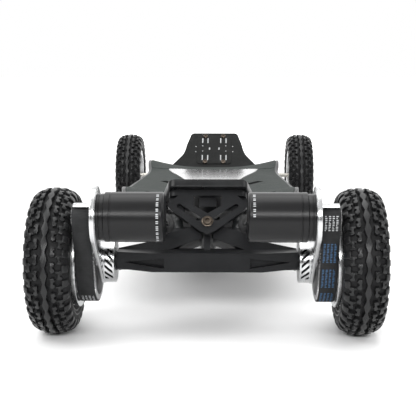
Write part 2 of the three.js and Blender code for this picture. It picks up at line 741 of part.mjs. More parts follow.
function makeButton() {
  return rodX(BUTTON_RADIUS, TUB_HALF_WIDTH - TUB_WALL - 1, TUB_HALF_WIDTH + BUTTON_PROUD, SIDES);
}

// ---------------------------------------------------------------- truck base and kingpin
const BASE_BOTTOM = BASE_HEIGHT - BASE_THICKNESS;

// The V plate: a rounded foot round the kingpin, two slotted arms, and wings over the dampers.
function vPlateOutline() {
  const top = BASE_BOTTOM + 2;
  const right = [
    [11, 5.2 - V_POINT],
    [BASE_HALF_WIDTH - 3.5, WING_BOTTOM],
    [BASE_HALF_WIDTH, WING_BOTTOM + 4],
    [BASE_HALF_WIDTH, top - V_CORNER],
    [BASE_HALF_WIDTH - V_CORNER - 2, top],
    [V_NOTCH_HALF, top],
    [V_NOTCH_HALF, V_NOTCH_DEPTH],
  ];
  return outlineOf([
    [0, -V_POINT],
    ...right,
    [0, V_NOTCH_POINT],
    ...right.map(([x, z]) => [-x, z]).reverse(),
  ]);
}

function vPlateSlots() {
  const [fromX, fromZ] = V_SLOT_INNER;
  const [toX, toZ] = V_SLOT_OUTER;
  const length = Math.hypot(toX - fromX, toZ - fromZ);
  const slot = slabY(roundedRectangle(length / 2, V_SLOT_WIDTH / 2, V_SLOT_WIDTH / 2 - 0.1), -TALL, TALL, 2);
  slot.rotateY(-Math.atan2(toZ - fromZ, toX - fromX));
  slot.translate((fromX + toX) / 2, 0, (fromZ + toZ) / 2);
  return [slot, mirrored(slot)];
}

function makeTruckBase() {
  const inside = BASE_OUTER + V_PLATE_THICKNESS;
  const middle = (BASE_INNER + BASE_OUTER) / 2;
  const shelfOutline = roundedRectangle(BASE_HALF_WIDTH, middle - BASE_OUTER, SHELF_CORNER, 0, middle);
  const shelf = slabZ(shelfOutline, BASE_BOTTOM, BASE_HEIGHT, 3);
  const holeStart = LUG_START + LUG_THICKNESS + 4;
  const shelfHole = box(-SHELF_HOLE_HALF, SHELF_HOLE_HALF, holeStart, BASE_INNER - SHELF_HOLE_EDGE, 0, TALL);
  const vPlate = cut(slabY(vPlateOutline(), BASE_OUTER, inside), ...vPlateSlots());
  const wings = [-1, 1].map((side) => {
    const [near, far] = [side * (BASE_HALF_WIDTH - 0.5), side * WING_HALF_INNER];
    const bottom = WING_BOTTOM + 1;
    return box(Math.min(near, far), Math.max(near, far), inside - 1, inside + WING_DEPTH - 8, bottom,
      BASE_BOTTOM + 1);
  });
  const rib = box(-RIB_HALF, RIB_HALF, inside - 1, LUG_START + 1, BASE_BOTTOM - RIB_HEIGHT, BASE_BOTTOM + 1);
  const lug = slabY(
    outlineOf([
      [LUG_HALF_WIDTH, BASE_BOTTOM + 1],
      [-LUG_HALF_WIDTH, BASE_BOTTOM + 1],
      [-BOSS_RADIUS, 0],
      [-BOSS_RADIUS * 0.6, -BOSS_RADIUS * 0.8],
      [BOSS_RADIUS * 0.6, -BOSS_RADIUS * 0.8],
      [BOSS_RADIUS, 0],
    ]),
    LUG_START, LUG_START + LUG_THICKNESS,
  );
  const bore = rodY(KINGPIN_RADIUS + GAP, BASE_OUTER - 5, BASE_INNER, SMALL_SIDES);
  const whole = join(cut(shelf, shelfHole), vPlate, ...wings, rib, lug);
  return inKingpinFrame(cut(whole, bore, ...boltHoles(0, TALL)));
}

// A thin plate on the tip carries the heads of the truck's bolts.
function makeBoltPlate() {
  const plateBottom = TIP_TOP + GAP;
  const plateTop = plateBottom + BOLT_PLATE_THICKNESS;
  const reach = boltPlaces().map(([, y]) => y);
  const middle = (Math.max(...reach) + Math.min(...reach)) / 2;
  const halfLength = (Math.max(...reach) - Math.min(...reach)) / 2 + BOLT_HEAD_RADIUS;
  const outline = roundedRectangle(BOLT_PLATE_HALF, halfLength, 8, 0, middle);
  const plate = slabZ(outline, plateBottom, plateTop, 3);
  const bolts = boltPlaces().map(([x, y]) => {
    const shank = rodZ(BOLT_RADIUS, BASE_BOTTOM - 2, plateTop - 0.5, SMALL_SIDES);
    const head = rodZ(BOLT_HEAD_RADIUS, plateTop - 0.5, plateTop + BOLT_HEAD_HEIGHT, SMALL_SIDES);
    return join(shank, head).translate(x, y, 0);
  });
  return inKingpinFrame(join(plate, ...bolts));
}

function makeKingpin() {
  const headStart = BASE_OUTER - GAP - KINGPIN_HEAD;
  const shank = rodY(KINGPIN_RADIUS, headStart + KINGPIN_SOCKET_DEPTH, KINGPIN_END, SMALL_SIDES);
  const head = rodY(KINGPIN_HEAD_RADIUS, headStart, BASE_OUTER - GAP, SIDES);
  const socket = rodY(KINGPIN_SOCKET, headStart - 1, headStart + KINGPIN_SOCKET_DEPTH - 0.5, 6);
  return inKingpinFrame(cut(join(shank, head), socket));
}

const KINGPIN_NUT_START = LUG_START + LUG_THICKNESS + GAP;
const KINGPIN_END = KINGPIN_NUT_START + KINGPIN_NUT + 2;

function makeKingpinNut() {
  const nut = rodY(KINGPIN_HEAD_RADIUS, KINGPIN_NUT_START, KINGPIN_NUT_START + KINGPIN_NUT, 6);
  const bore = rodY(KINGPIN_RADIUS + GAP, KINGPIN_NUT_START - 1, KINGPIN_END + 1, SMALL_SIDES);
  return inKingpinFrame(cut(nut, bore));
}

const DAMPER_Y = BASE_OUTER + V_PLATE_THICKNESS + RUNNING_GAP + DAMPER_RADIUS;

function makeDamper(side) {
  const bottom = DAMPER_SEAT + GAP;
  const top = WING_BOTTOM + 1 - GAP;
  const waist = (top - bottom) / 2;
  const profile = [
    [-waist, 0],
    [-waist, DAMPER_RADIUS],
    [-waist * 0.3, DAMPER_RADIUS],
    [0, DAMPER_RADIUS - 2],
    [waist * 0.3, DAMPER_RADIUS],
    [waist, DAMPER_RADIUS],
    [waist, 0],
  ];
  const block = turnedX(profile, SMALL_SIDES).rotateY(-Math.PI / 2);
  return inKingpinFrame(block.translate(side * DAMPER_X, DAMPER_Y, (top + bottom) / 2));
}

// ---------------------------------------------------------------- hanger and axle
function hangerArmOutline() {
  return outlineOf([
    [8, DAMPER_SEAT + 3],
    [DAMPER_X - DAMPER_RADIUS - 10, DAMPER_SEAT + 3],
    [DAMPER_X - DAMPER_RADIUS - 1, DAMPER_SEAT - 0.5],
    [DAMPER_X + DAMPER_RADIUS, DAMPER_SEAT - 7.5],
    [78, -26.5],
    [BEAM_END, -36.5],
    [BEAM_END, -60],
    [70, -46],
    [8, -22],
  ]);
}

function makeHanger() {
  const front = BASE_OUTER + V_PLATE_THICKNESS + RUNNING_GAP;
  const arm = slabY(hangerArmOutline(), front, front + ARM_DEPTH);
  const [seatInner, seatOuter] = [DAMPER_X - SEAT_HALF, DAMPER_X + SEAT_HALF];
  const seatBottom = DAMPER_SEAT - SEAT_THICKNESS;
  const seat = box(seatInner, seatOuter, front, DAMPER_Y + DAMPER_RADIUS, seatBottom, DAMPER_SEAT);
  const post = box(-POST_HALF, POST_HALF, front, front + ARM_DEPTH, -AXLE_DROP, 0);
  const boss = rodY(BOSS_RADIUS, front, front + BOSS_LENGTH, SIDES);
  const upper = [arm, mirrored(arm), seat, mirrored(seat), post, boss].map(inKingpinFrame);
  const face = slabY(
    outlineOf([
      [-BEAM_FACE_HALF, -BEAM_BOTTOM],
      [BEAM_FACE_HALF, -BEAM_BOTTOM],
      [BEAM_END, -BEAM_BOTTOM + 4],
      [BEAM_END, BEAM_TOP + 1],
      [BEAM_FACE_HALF, BEAM_TOP],
      [-BEAM_FACE_HALF, BEAM_TOP],
      [-BEAM_END, BEAM_TOP + 1],
      [-BEAM_END, -BEAM_BOTTOM + 4],
    ]),
    -TALL, TALL,
  );
  const plan = slabZ(
    outlineOf([
      [-BEAM_FACE_HALF, -BEAM_BACK],
      [BEAM_FACE_HALF, -BEAM_BACK],
      [BEAM_END, -BEAM_BACK + 5],
      [BEAM_END, BEAM_FRONT],
      [-BEAM_END, BEAM_FRONT],
      [-BEAM_END, -BEAM_BACK + 5],
    ]),
    -TALL, TALL,
  );
  const stubs = rodX(STUB_RADIUS, -STUB_END, STUB_END, SIDES);
  const pocket = slabY(
    outlineOf([
      [POCKET_TIP, 1],
      [POCKET_START, BEAM_TOP / 2],
      [POCKET_START, -BEAM_TOP / 2],
    ]),
    -BEAM_BACK - 1, -BEAM_BACK + POCKET_DEPTH,
  );
  const bore = inKingpinFrame(rodY(KINGPIN_RADIUS + GAP, -TALL, TALL, SMALL_SIDES));
  const axleBore = rodX(AXLE_RADIUS + GAP, -TALL, TALL, SMALL_SIDES);
  const whole = join(common(face, plan), stubs, ...upper);
  return cut(whole, pocket, mirrored(pocket), bore, axleBore);
}

// One rod through the hanger, with a collar that stops each wheel's bearing.
function makeAxle() {
  const stop = TRACK_HALF - SLEEVE_HALF - GAP;
  const collars = [rodX(COLLAR_RADIUS, stop - COLLAR_LENGTH, stop, SIDES)];
  collars.push(rodX(COLLAR_RADIUS, -stop, -stop + COLLAR_LENGTH, SIDES));
  return join(rodX(AXLE_RADIUS, -AXLE_END, AXLE_END, SMALL_SIDES), ...collars);
}

// ---------------------------------------------------------------- wheels, drawn about x = 0
const HALF_WIDTH = TYRE_WIDTH / 2;
const SEAT = HALF_WIDTH - RIM_INSET; // half width between the rim's lips

function makeTyre() {
  const bead = RIM_RADIUS + GAP;
  const outer = [
    [SEAT - GAP, bead],
    [SEAT - GAP, bead + RIM_LIP],
    [HALF_WIDTH, TYRE_RADIUS * SHOULDER_SHARE],
    [HALF_WIDTH - TYRE_WALL, TYRE_RADIUS * TREAD_EDGE_SHARE],
  ];
  const inner = [
    [HALF_WIDTH - 10, TYRE_RADIUS - TYRE_WALL - 4],
    [HALF_WIDTH - TYRE_WALL, TYRE_RADIUS * SHOULDER_SHARE],
    [SEAT - TYRE_WALL, bead],
  ];
  const flip = ([x, radius]) => [-x, radius];
  outer.push([TREAD_HALF, TYRE_RADIUS]);
  const profile = [...outer, ...outer.map(flip).reverse(), ...inner.map(flip).reverse(), ...inner];
  // The ring of flats stands on one of them, and every flat touches the tyre's true radius.
  const halfFlat = Math.PI / LARGE_SIDES;
  const ring = turnedX([...profile, profile[0]], LARGE_SIDES).rotateX(halfFlat);
  return ring.scale(1, 1 / Math.cos(halfFlat), 1 / Math.cos(halfFlat));
}

function makeHub() {
  const lipStart = SEAT;
  const lipEnd = SEAT + RIM_LIP_THICKNESS;
  const lip = RIM_RADIUS + RIM_LIP;
  const inside = RIM_RADIUS - RIM_WALL;
  const profile = [
    [-lipEnd, inside],
    [-lipEnd, lip],
    [-lipStart, lip],
    [-lipStart, RIM_RADIUS],
    [lipStart, RIM_RADIUS],
    [lipStart, lip],
    [lipEnd, lip],
    [lipEnd, inside],
    [-lipEnd, inside],
  ];
  const rim = turnedX(profile, LARGE_SIDES);
  const sleeve = rodX(HUB_RADIUS, -SLEEVE_HALF, SLEEVE_HALF, SIDES);
  const spokes = Array.from({ length: SPOKE_COUNT }, (_, i) => {
    const spoke = box(-SPOKE_THICKNESS / 2, SPOKE_THICKNESS / 2, -SPOKE_WIDTH / 2, SPOKE_WIDTH / 2,
      BEARING_RADIUS + 2, inside + 2);
    return spoke.rotateX((i * 2 * Math.PI) / SPOKE_COUNT);
  });
  return cut(join(rim, sleeve, ...spokes), rodX(BEARING_RADIUS + GAP, -TALL, TALL, SIDES));
}

function makeBearing() {
  const half = BEARING_LENGTH / 2;
  const bore = rodX(AXLE_RADIUS + GAP, -half - 1, half + 1, SMALL_SIDES);
  return cut(rodX(BEARING_RADIUS, -half, half, SIDES), bore);
}

const NUT_START = TRACK_HALF + SLEEVE_HALF + GAP;

function makeAxleNut() {
  const nut = rodX(AXLE_NUT_RADIUS, NUT_START, NUT_START + AXLE_NUT_LENGTH, 6);
  return cut(nut, rodX(AXLE_RADIUS + GAP, NUT_START - 1, NUT_START + AXLE_NUT_LENGTH + 1, SMALL_SIDES));
}

// ---------------------------------------------------------------- belt drive, for the side of +X
const AXLE_POINT = new THREE.Vector2(0, 0);
const MOTOR_POINT = new THREE.Vector2(-MOTOR_BACK, MOTOR_UP);
const atMotor = (geometry) => geometry.translate(0, -MOTOR_BACK, MOTOR_UP);

// A toothed outline: each tooth is a trapezium with its flanks a little inclined.
function toothedOutline(teeth, tipRadius, turn) {
  const points = [];
  const shares = [
    [-0.36, tipRadius],
    [0.04, tipRadius],
    [0.14, tipRadius - TOOTH_DEPTH],
    [0.54, tipRadius - TOOTH_DEPTH],
  ];
  for (let tooth = 0; tooth < teeth; tooth += 1) {
    for (const [share, radius] of shares) {
      const angle = turn + ((tooth + share) * 2 * Math.PI) / teeth;
      points.push([radius * Math.cos(angle), radius * Math.sin(angle)]);
    }
  }
  return outlineOf(points);
}

function makeWheelPulley() {
  const end = PULLEY_INNER + PULLEY_WIDTH;
  const teeth = rodX(WHEEL_PITCH_RADIUS - PITCH_LINE, PULLEY_INNER, end + 1, 2 * LARGE_SIDES);
  const guide = rodX(GUIDE_RADIUS, end, end + GUIDE_THICKNESS, LARGE_SIDES);
  const boss = rodX(PULLEY_BOSS, end, TRACK_HALF - SLEEVE_HALF - GAP, SIDES);
  const dish = rodX(WHEEL_PITCH_RADIUS - 10, PULLEY_INNER - 1, end, LARGE_SIDES);
  return cut(join(teeth, guide, boss), dish, rodX(BEARING_RADIUS, PULLEY_INNER, TALL, SIDES));
}

function makeMotorPulley() {
  const outline = toothedOutline(MOTOR_TEETH, MOTOR_PITCH_RADIUS - PITCH_LINE, 0);
  const teeth = slabX(outline, PULLEY_INNER, PULLEY_INNER + PULLEY_WIDTH);
  const bore = rodX(SHAFT_RADIUS + GAP, PULLEY_INNER - 1, PULLEY_INNER + PULLEY_WIDTH + 1, SMALL_SIDES);
  return atMotor(cut(teeth, bore));
}

// The belt runs clear of the tooth tips as a smooth band.
function makeBelt() {
  const band = (extra) =>
    beltOutline(
      AXLE_POINT,
      WHEEL_PITCH_RADIUS - PITCH_LINE + extra,
      MOTOR_POINT,
      MOTOR_PITCH_RADIUS - PITCH_LINE + extra,
      LARGE_SIDES,
    );
  const outside = slabX(band(GAP + BELT_THICKNESS), BELT_START, BELT_START + BELT_WIDTH);
  return cut(outside, slabX(band(GAP), BELT_START - 1, BELT_START + BELT_WIDTH + 1));
}

function makeMotorMount() {
  const plateEnd = MOUNT_INNER + MOUNT_THICKNESS;
  const outline = beltOutline(MOTOR_POINT, MOUNT_HEAD_RADIUS, AXLE_POINT, MOUNT_FOOT_RADIUS, SIDES);
  const plate = slabX(outline, MOUNT_INNER, plateEnd);
  const clamp = rodX(CLAMP_RADIUS, CLAMP_INNER, MOUNT_INNER + 1, SIDES);
  const stubHole = rodX(STUB_RADIUS + GAP, CLAMP_INNER - 1, STUB_END + GAP, SIDES);
  const axleHole = rodX(AXLE_RADIUS + GAP, STUB_END - 5, plateEnd + 1, SMALL_SIDES);
  const shaftHole = atMotor(rodX(SHAFT_HOLE_RADIUS, MOUNT_INNER - 1, plateEnd + 1, SIDES));
  const slots = [-1, 0, 1].map((step) => {
    const [back, half] = [-CLAMP_RADIUS, CLAMP_SLOT_WIDTH / 2];
    const slot = box(CLAMP_INNER + 1.5, MOUNT_INNER - 2, back - 1, back + CLAMP_SLOT_DEPTH, -half, half);
    return slot.translate(0, 0, (step + 1 / 3) * CLAMP_SLOT_PITCH);
  });
  return cut(join(plate, clamp), stubHole, axleHole, shaftHole, ...slots);
}

function makeMotorHousing() {
  const inner = MOTOR_RADIUS - MOTOR_WALL;
  const profile = [
    [MOTOR_INNER, 0],
    [MOTOR_INNER, MOTOR_RADIUS - MOTOR_CHAMFER],
    [MOTOR_INNER + MOTOR_CHAMFER, MOTOR_RADIUS],
    [MOTOR_OUTER, MOTOR_RADIUS],
    [MOTOR_OUTER, inner],
    [MOTOR_INNER + MOTOR_END_WALL, inner],
    [MOTOR_INNER + MOTOR_END_WALL, 0],
  ];
  return atMotor(turnedX(profile, LARGE_SIDES));
}

function makeMotorCap() {
  const spigot = MOTOR_RADIUS - MOTOR_WALL - GAP;
  const profile = [
    [MOTOR_OUTER - SPIGOT_LENGTH, SHAFT_RADIUS + GAP],
    [MOTOR_OUTER - SPIGOT_LENGTH, spigot],
    [MOTOR_OUTER + GAP, spigot],
    [MOTOR_OUTER + GAP, MOTOR_CAP_RADIUS],
    [MOUNT_INNER - GAP, MOTOR_CAP_RADIUS],
    [MOUNT_INNER - GAP, SHAFT_RADIUS + GAP],
    [MOTOR_OUTER - SPIGOT_LENGTH, SHAFT_RADIUS + GAP],
  ];
  return atMotor(turnedX(profile, LARGE_SIDES));
}

function makeRotor() {
  const start = MOTOR_INNER + MOTOR_END_WALL + RUNNING_GAP;
  const end = MOTOR_OUTER - SPIGOT_LENGTH - RUNNING_GAP;
  const profile = [
    [start, 0],
    [start, SHAFT_RADIUS],
    [start + 4, SHAFT_RADIUS],
    [start + 4, ROTOR_RADIUS],
    [end - 3, ROTOR_RADIUS],
    [end - 3, SHAFT_RADIUS],
    [PULLEY_INNER + PULLEY_WIDTH + 1, SHAFT_RADIUS],
    [PULLEY_INNER + PULLEY_WIDTH + 1, 0],
  ];
  return atMotor(turnedX(profile, SIDES));
}

// The motor's lead leaves its inner end, rises over the hanger's arm and runs under the deck's tip
// into the enclosure. Points are in the rear truck's frame.
function makeMotorCable() {
  const route = [
    [MOTOR_INNER - 2 * GAP, -60, 54],
    [MOTOR_INNER - 5, -60, 54],
    [MOTOR_INNER - 7.5, -50, 57],
    [MOTOR_INNER - 5, -32, 61],
    [MOTOR_INNER + 2, -6, 62],
    [62, 24, 56],
    [65, 58, 42],
    [65, 98, 24],
    [63, 145, 10],
    [CABLE_X, 200, CABLE_Z - TYRE_RADIUS],
    [CABLE_X, WHEELBASE / 2 - TUB_HALF_LENGTH + 8, CABLE_Z - TYRE_RADIUS],
  ];
  const points = route.map(([x, y, z]) => new THREE.Vector3(x, y, z));
  const extrudePath = new THREE.CatmullRomCurve3(points, false, 'centripetal');
  const section = new THREE.Shape().absarc(0, 0, CABLE_RADIUS, 0, 2 * Math.PI);
  const options = { steps: CABLE_STEPS, extrudePath, curveSegments: CABLE_SIDES / 2, bevelEnabled: false };
  return new THREE.ExtrudeGeometry(section, options);
}

// ---------------------------------------------------------------- assembly
const board = new THREE.Group();

function put(parent, name, geometry, material) {
  const mesh = new THREE.Mesh(bare(geometry), material);
  mesh.name = name;
  parent.add(mesh);
  return mesh;
}

function addDeckGroup() {
  const deck = new THREE.Group();
  deck.position.set(0, MIDDLE_Y, 0);
  board.add(deck);
  put(deck, 'deck', makeDeck(), FINISH.deck);
  put(deck, 'rear_grip_tape', makeGrip(false), FINISH.grip);
  put(deck, 'front_grip_tape', makeGrip(true), FINISH.grip);
  put(deck, 'centre_panel', makePanel(), FINISH.gloss);
  put(deck, 'enclosure_shell', makeEnclosure(), FINISH.plastic);
  put(deck, 'enclosure_gasket', makeGasket(), FINISH.rubber);
  put(deck, 'battery_pack', makeBattery(), FINISH.cell);
  put(deck, 'motor_controller', makeController(), FINISH.silver);
  put(deck, 'charge_port', makePort(), FINISH.steel).position.set(0, PORT_Y, PORT_Z);
  put(deck, 'charge_port_cap', makeCap(), FINISH.rubber).position.set(0, PORT_Y, PORT_Z);
  put(deck, 'power_button', makeButton(), FINISH.silver).position.set(0, BUTTON_Y, PORT_Z);
}

// A truck's group stands at its axle's middle; the front one is the rear one turned half round.
function addTruck(end, axleY, turn) {
  const truck = new THREE.Group();
  truck.position.set(0, axleY, TYRE_RADIUS);
  truck.rotation.z = turn;
  board.add(truck);
  const facing = turn === 0 ? 1 : -1;
  const sideName = (side) => (side * facing > 0 ? 'right' : 'left');
  put(truck, `${end}_truck_base`, makeTruckBase(), FINISH.truck);
  put(truck, `${end}_bolt_plate`, makeBoltPlate(), FINISH.steel);
  put(truck, `${end}_kingpin`, makeKingpin(), FINISH.steel);
  put(truck, `${end}_kingpin_nut`, makeKingpinNut(), FINISH.steel);
  put(truck, `${end}_hanger`, makeHanger(), FINISH.truck);
  put(truck, `${end}_axle`, makeAxle(), FINISH.steel);
  for (const side of [-1, 1]) {
    const name = `${end}_${sideName(side)}`;
    const wheel = new THREE.Group();
    wheel.position.set(side * TRACK_HALF, 0, 0);
    truck.add(wheel);
    put(truck, `${name}_damper`, makeDamper(side), FINISH.urethane);
    put(wheel, `${name}_tyre`, makeTyre(), FINISH.rubber);
    put(wheel, `${name}_hub`, makeHub(), FINISH.silver);
    put(wheel, `${name}_bearing`, makeBearing(), FINISH.steel);
    put(truck, `${name}_axle_nut`, side > 0 ? makeAxleNut() : mirrored(makeAxleNut()), FINISH.steel);
  }
  return truck;
}

function addDrive(truck) {
  const pieces = [
    ['motor_mount', makeMotorMount(), FINISH.silver],
    ['motor_housing', makeMotorHousing(), FINISH.motor],
    ['motor_end_cap', makeMotorCap(), FINISH.motor],
    ['motor_rotor', makeRotor(), FINISH.steel],
    ['motor_pulley', makeMotorPulley(), FINISH.steel],
    ['drive_belt', makeBelt(), FINISH.belt],
    ['wheel_pulley', makeWheelPulley(), FINISH.silver],
    ['motor_cable', makeMotorCable(), FINISH.rubber],
  ];
  for (const [name, geometry, material] of pieces) {
    put(truck, `right_${name}`, geometry, material);
    put(truck, `left_${name}`, mirrored(geometry), material);
  }
}

addDeckGroup();
const rearTruck = addTruck('rear', REAR_AXLE_Y, 0);
addTruck('front', FRONT_AXLE_Y, Math.PI);
addDrive(rearTruck);

export default board;
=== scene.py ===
"""All-terrain electric skateboard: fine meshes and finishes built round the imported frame.

Lengths are metres, +Y points to the nose and +Z up. Each truck is described in its own frame, with the
origin at the middle of its axle; the front truck is the rear one turned half a turn about Z.
"""

import json
import logging
import math
from dataclasses import dataclass, field
from enum import Enum
from typing import Callable, Sequence

import bmesh
import bpy
import numpy as np
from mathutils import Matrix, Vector

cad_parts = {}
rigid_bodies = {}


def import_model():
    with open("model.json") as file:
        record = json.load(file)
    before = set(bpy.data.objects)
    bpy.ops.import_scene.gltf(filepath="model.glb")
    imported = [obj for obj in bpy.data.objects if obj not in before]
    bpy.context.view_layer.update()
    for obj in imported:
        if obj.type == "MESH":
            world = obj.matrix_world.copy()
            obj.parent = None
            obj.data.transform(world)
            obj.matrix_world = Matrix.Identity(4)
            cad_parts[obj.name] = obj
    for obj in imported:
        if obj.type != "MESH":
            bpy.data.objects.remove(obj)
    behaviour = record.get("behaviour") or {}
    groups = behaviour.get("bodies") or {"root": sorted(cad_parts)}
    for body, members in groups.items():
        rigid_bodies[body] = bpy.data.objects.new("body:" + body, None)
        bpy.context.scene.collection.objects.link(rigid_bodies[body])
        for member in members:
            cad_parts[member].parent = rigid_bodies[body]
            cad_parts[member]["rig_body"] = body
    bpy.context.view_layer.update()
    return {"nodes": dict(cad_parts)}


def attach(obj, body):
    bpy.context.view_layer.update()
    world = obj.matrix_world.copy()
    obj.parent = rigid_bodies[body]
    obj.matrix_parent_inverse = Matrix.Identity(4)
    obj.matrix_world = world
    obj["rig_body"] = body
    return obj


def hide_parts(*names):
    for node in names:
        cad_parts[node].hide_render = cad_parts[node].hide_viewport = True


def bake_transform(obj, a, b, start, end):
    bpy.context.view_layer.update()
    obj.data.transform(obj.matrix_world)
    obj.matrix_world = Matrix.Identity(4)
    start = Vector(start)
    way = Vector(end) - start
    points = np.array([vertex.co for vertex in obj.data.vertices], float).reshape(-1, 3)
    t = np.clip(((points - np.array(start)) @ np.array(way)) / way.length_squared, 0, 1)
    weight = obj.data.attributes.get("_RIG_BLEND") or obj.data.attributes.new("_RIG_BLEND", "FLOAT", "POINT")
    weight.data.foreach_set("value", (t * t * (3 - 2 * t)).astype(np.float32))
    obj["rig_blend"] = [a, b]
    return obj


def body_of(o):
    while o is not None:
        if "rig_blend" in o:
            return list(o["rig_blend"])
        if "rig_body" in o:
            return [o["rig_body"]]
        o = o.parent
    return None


LOG = logging.getLogger("skateboard")
MM = 0.001
TURN = 2 * math.pi
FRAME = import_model()

Array = np.ndarray
Color = tuple[float, float, float]


# ---------------------------------------------------------------- surfaces
@dataclass
class Surface:
    """Points and faces of one piece while it is being built; each face block has its material's number."""

    points: Array
    blocks: list[tuple[Array, int]] = field(default_factory=list)

    @classmethod
    def grid(cls, points: Array, wrap_u: bool = False, wrap_v: bool = False, slot: int = 0) -> "Surface":
        """Quads over a grid of points.

        Args:
            points: array of shape (U, V, 3).
            wrap_u: join the last row to the first.
            wrap_v: join the last column to the first.
            slot: material number.

        Returns:
            The surface, with point (i, j) at index i * V + j.
        """
        rows, columns = points.shape[:2]
        i = np.arange(rows if wrap_u else rows - 1)[:, None]
        j = np.arange(columns if wrap_v else columns - 1)[None, :]
        ni, nj = (i + 1) % rows, (j + 1) % columns
        corners = [i * columns + j, ni * columns + j, ni * columns + nj, i * columns + nj]
        quads = np.stack([np.broadcast_to(c, (i.size, j.size)) for c in corners], axis=-1)
        return cls(points.reshape(-1, 3), [(quads.reshape(-1, 4), slot)])

    @classmethod
    def stack(cls, rings: Array, slot: int = 0) -> "Surface":
        """A closed solid through a stack of rings of shape (L, N, 3), with a flat face on each end."""
        body = cls.grid(rings, wrap_v=True, slot=slot)
        levels, count = rings.shape[:2]
        first = np.arange(count)[::-1][None, :]
        last = ((levels - 1) * count + np.arange(count))[None, :]
        body.blocks += [(first, slot), (last, slot)]
        return body

    @classmethod
    def block(cls, top: Array, bottom: Array, slot: int = 0) -> "Surface":
        """A closed slab between two grids of the same shape (U, V, 3), with walls all round the rim."""
        rows, columns = top.shape[:2]
        upper = cls.grid(top, slot=slot)
        lower = cls.grid(bottom[:, ::-1], slot=slot)
        index = np.arange(rows * columns).reshape(rows, columns)
        rim = np.concatenate([index[0, :-1], index[:-1, -1], index[-1, :0:-1], index[:0:-1, 0]])
        wall_points = np.stack([top.reshape(-1, 3)[rim], bottom.reshape(-1, 3)[rim]])
        return upper + lower + cls.grid(wall_points, wrap_v=True, slot=slot)

    @classmethod
    def turned(cls, profile: Sequence[Sequence[float]], steps: int, closed: bool = True, slot: int = 0) -> "Surface":
        """A solid of revolution about X: each profile point (x, r) is carried round the axis.

        Args:
            profile: points (x, r), either a closed loop or a line that starts and ends on the axis.
            steps: divisions round the axis.
            closed: whether the profile is a loop.
            slot: material number.

        Returns:
            The surface.
        """
        outline = np.asarray(profile, float)
        angle = np.arange(steps) * TURN / steps
        x = np.broadcast_to(outline[None, :, 0], (steps, len(outline)))
        y = np.cos(angle)[:, None] * outline[None, :, 1]
        z = np.sin(angle)[:, None] * outline[None, :, 1]
        return cls.grid(np.stack([x, y, z], axis=-1), wrap_u=True, wrap_v=closed, slot=slot)

    def __add__(self, other: "Surface") -> "Surface":
        """Both surfaces in one piece."""
        shift = len(self.points)
        moved = [(faces + shift, slot) for faces, slot in other.blocks]
        return Surface(np.concatenate([self.points, other.points]), self.blocks + moved)

    def moved(self, x: float = 0.0, y: float = 0.0, z: float = 0.0) -> "Surface":
        """A copy moved by (x, y, z)."""
        return Surface(self.points + np.array([x, y, z]), list(self.blocks))

    def placed(self, matrix: Array) -> "Surface":
        """A copy carried by a 4x4 matrix."""
        return Surface(self.points @ matrix[:3, :3].T + matrix[:3, 3], list(self.blocks))

    def in_slot(self, slot: int) -> "Surface":
        """A copy whose faces all use one material."""
        return Surface(self.points, [(faces, slot) for faces, _ in self.blocks])


def joined(surfaces: Sequence[Surface]) -> Surface:
    """All the surfaces in one piece."""
    start = np.cumsum([0, *[len(surface.points) for surface in surfaces]])
    blocks = [(faces + shift, slot) for surface, shift in zip(surfaces, start) for faces, slot in surface.blocks]
    return Surface(np.concatenate([surface.points for surface in surfaces]), blocks)


def ring_points(x: Array | float, radius: Array | float, angle: Array) -> Array:
    """Points at places on X, with radii and angles about it; the three are broadcast together."""
    x, y, z = np.broadcast_arrays(x, radius * np.cos(angle), radius * np.sin(angle))
    return np.stack([x, y, z], axis=-1)


def hexagon(radius: float, angle: Array) -> Array:
    """Distance from the centre to a hexagon's side at each angle, for a hexagon with this corner radius."""
    return radius * math.cos(math.pi / 6) / np.cos((angle % (TURN / 6)) - math.pi / 6)


def turn_matrix(axis: str, angle: float) -> Array:
    """The 4x4 matrix that turns by an angle about a row axis."""
    c, s = math.cos(angle), math.sin(angle)
    i, j = {"x": (1, 2), "y": (2, 0), "z": (0, 1)}[axis]
    matrix = np.eye(4)
    matrix[i, i], matrix[i, j], matrix[j, i], matrix[j, j] = c, -s, s, c
    return matrix


def shift_matrix(x: float, y: float, z: float) -> Array:
    """The 4x4 matrix that moves by (x, y, z)."""
    matrix = np.eye(4)
    matrix[:3, 3] = (x, y, z)
    return matrix


def rounded(points: Sequence[Sequence[float]], radius: float, steps: int = 3) -> Array:
    """A closed outline whose corners are replaced by short arcs.

    Each corner gives a quadratic curve from a point on the side before it to a point on the side after it,
    both within the radius and 45 % of the side's length.

    Args:
        points: corners (a, b).
        radius: how far from the corner the curve starts.
        steps: segments of each curve.

    Returns:
        The rounded outline as an array of shape (N, 2).
    """
    corners = np.asarray(points, float)
    before, after = np.roll(corners, 1, axis=0), np.roll(corners, -1, axis=0)

    def toward(target: Array) -> Array:
        """Points on the way from each corner to its neighbour."""
        length = np.linalg.norm(target - corners, axis=1, keepdims=True)
        share = np.minimum(radius / np.maximum(length, 1e-9), 0.45)
        return corners + (target - corners) * share

    start, end = toward(before), toward(after)
    t = np.linspace(0, 1, steps + 1)[None, :, None]
    curve = (1 - t) ** 2 * start[:, None] + 2 * t * (1 - t) * corners[:, None] + t**2 * end[:, None]
    return curve.reshape(-1, 2)


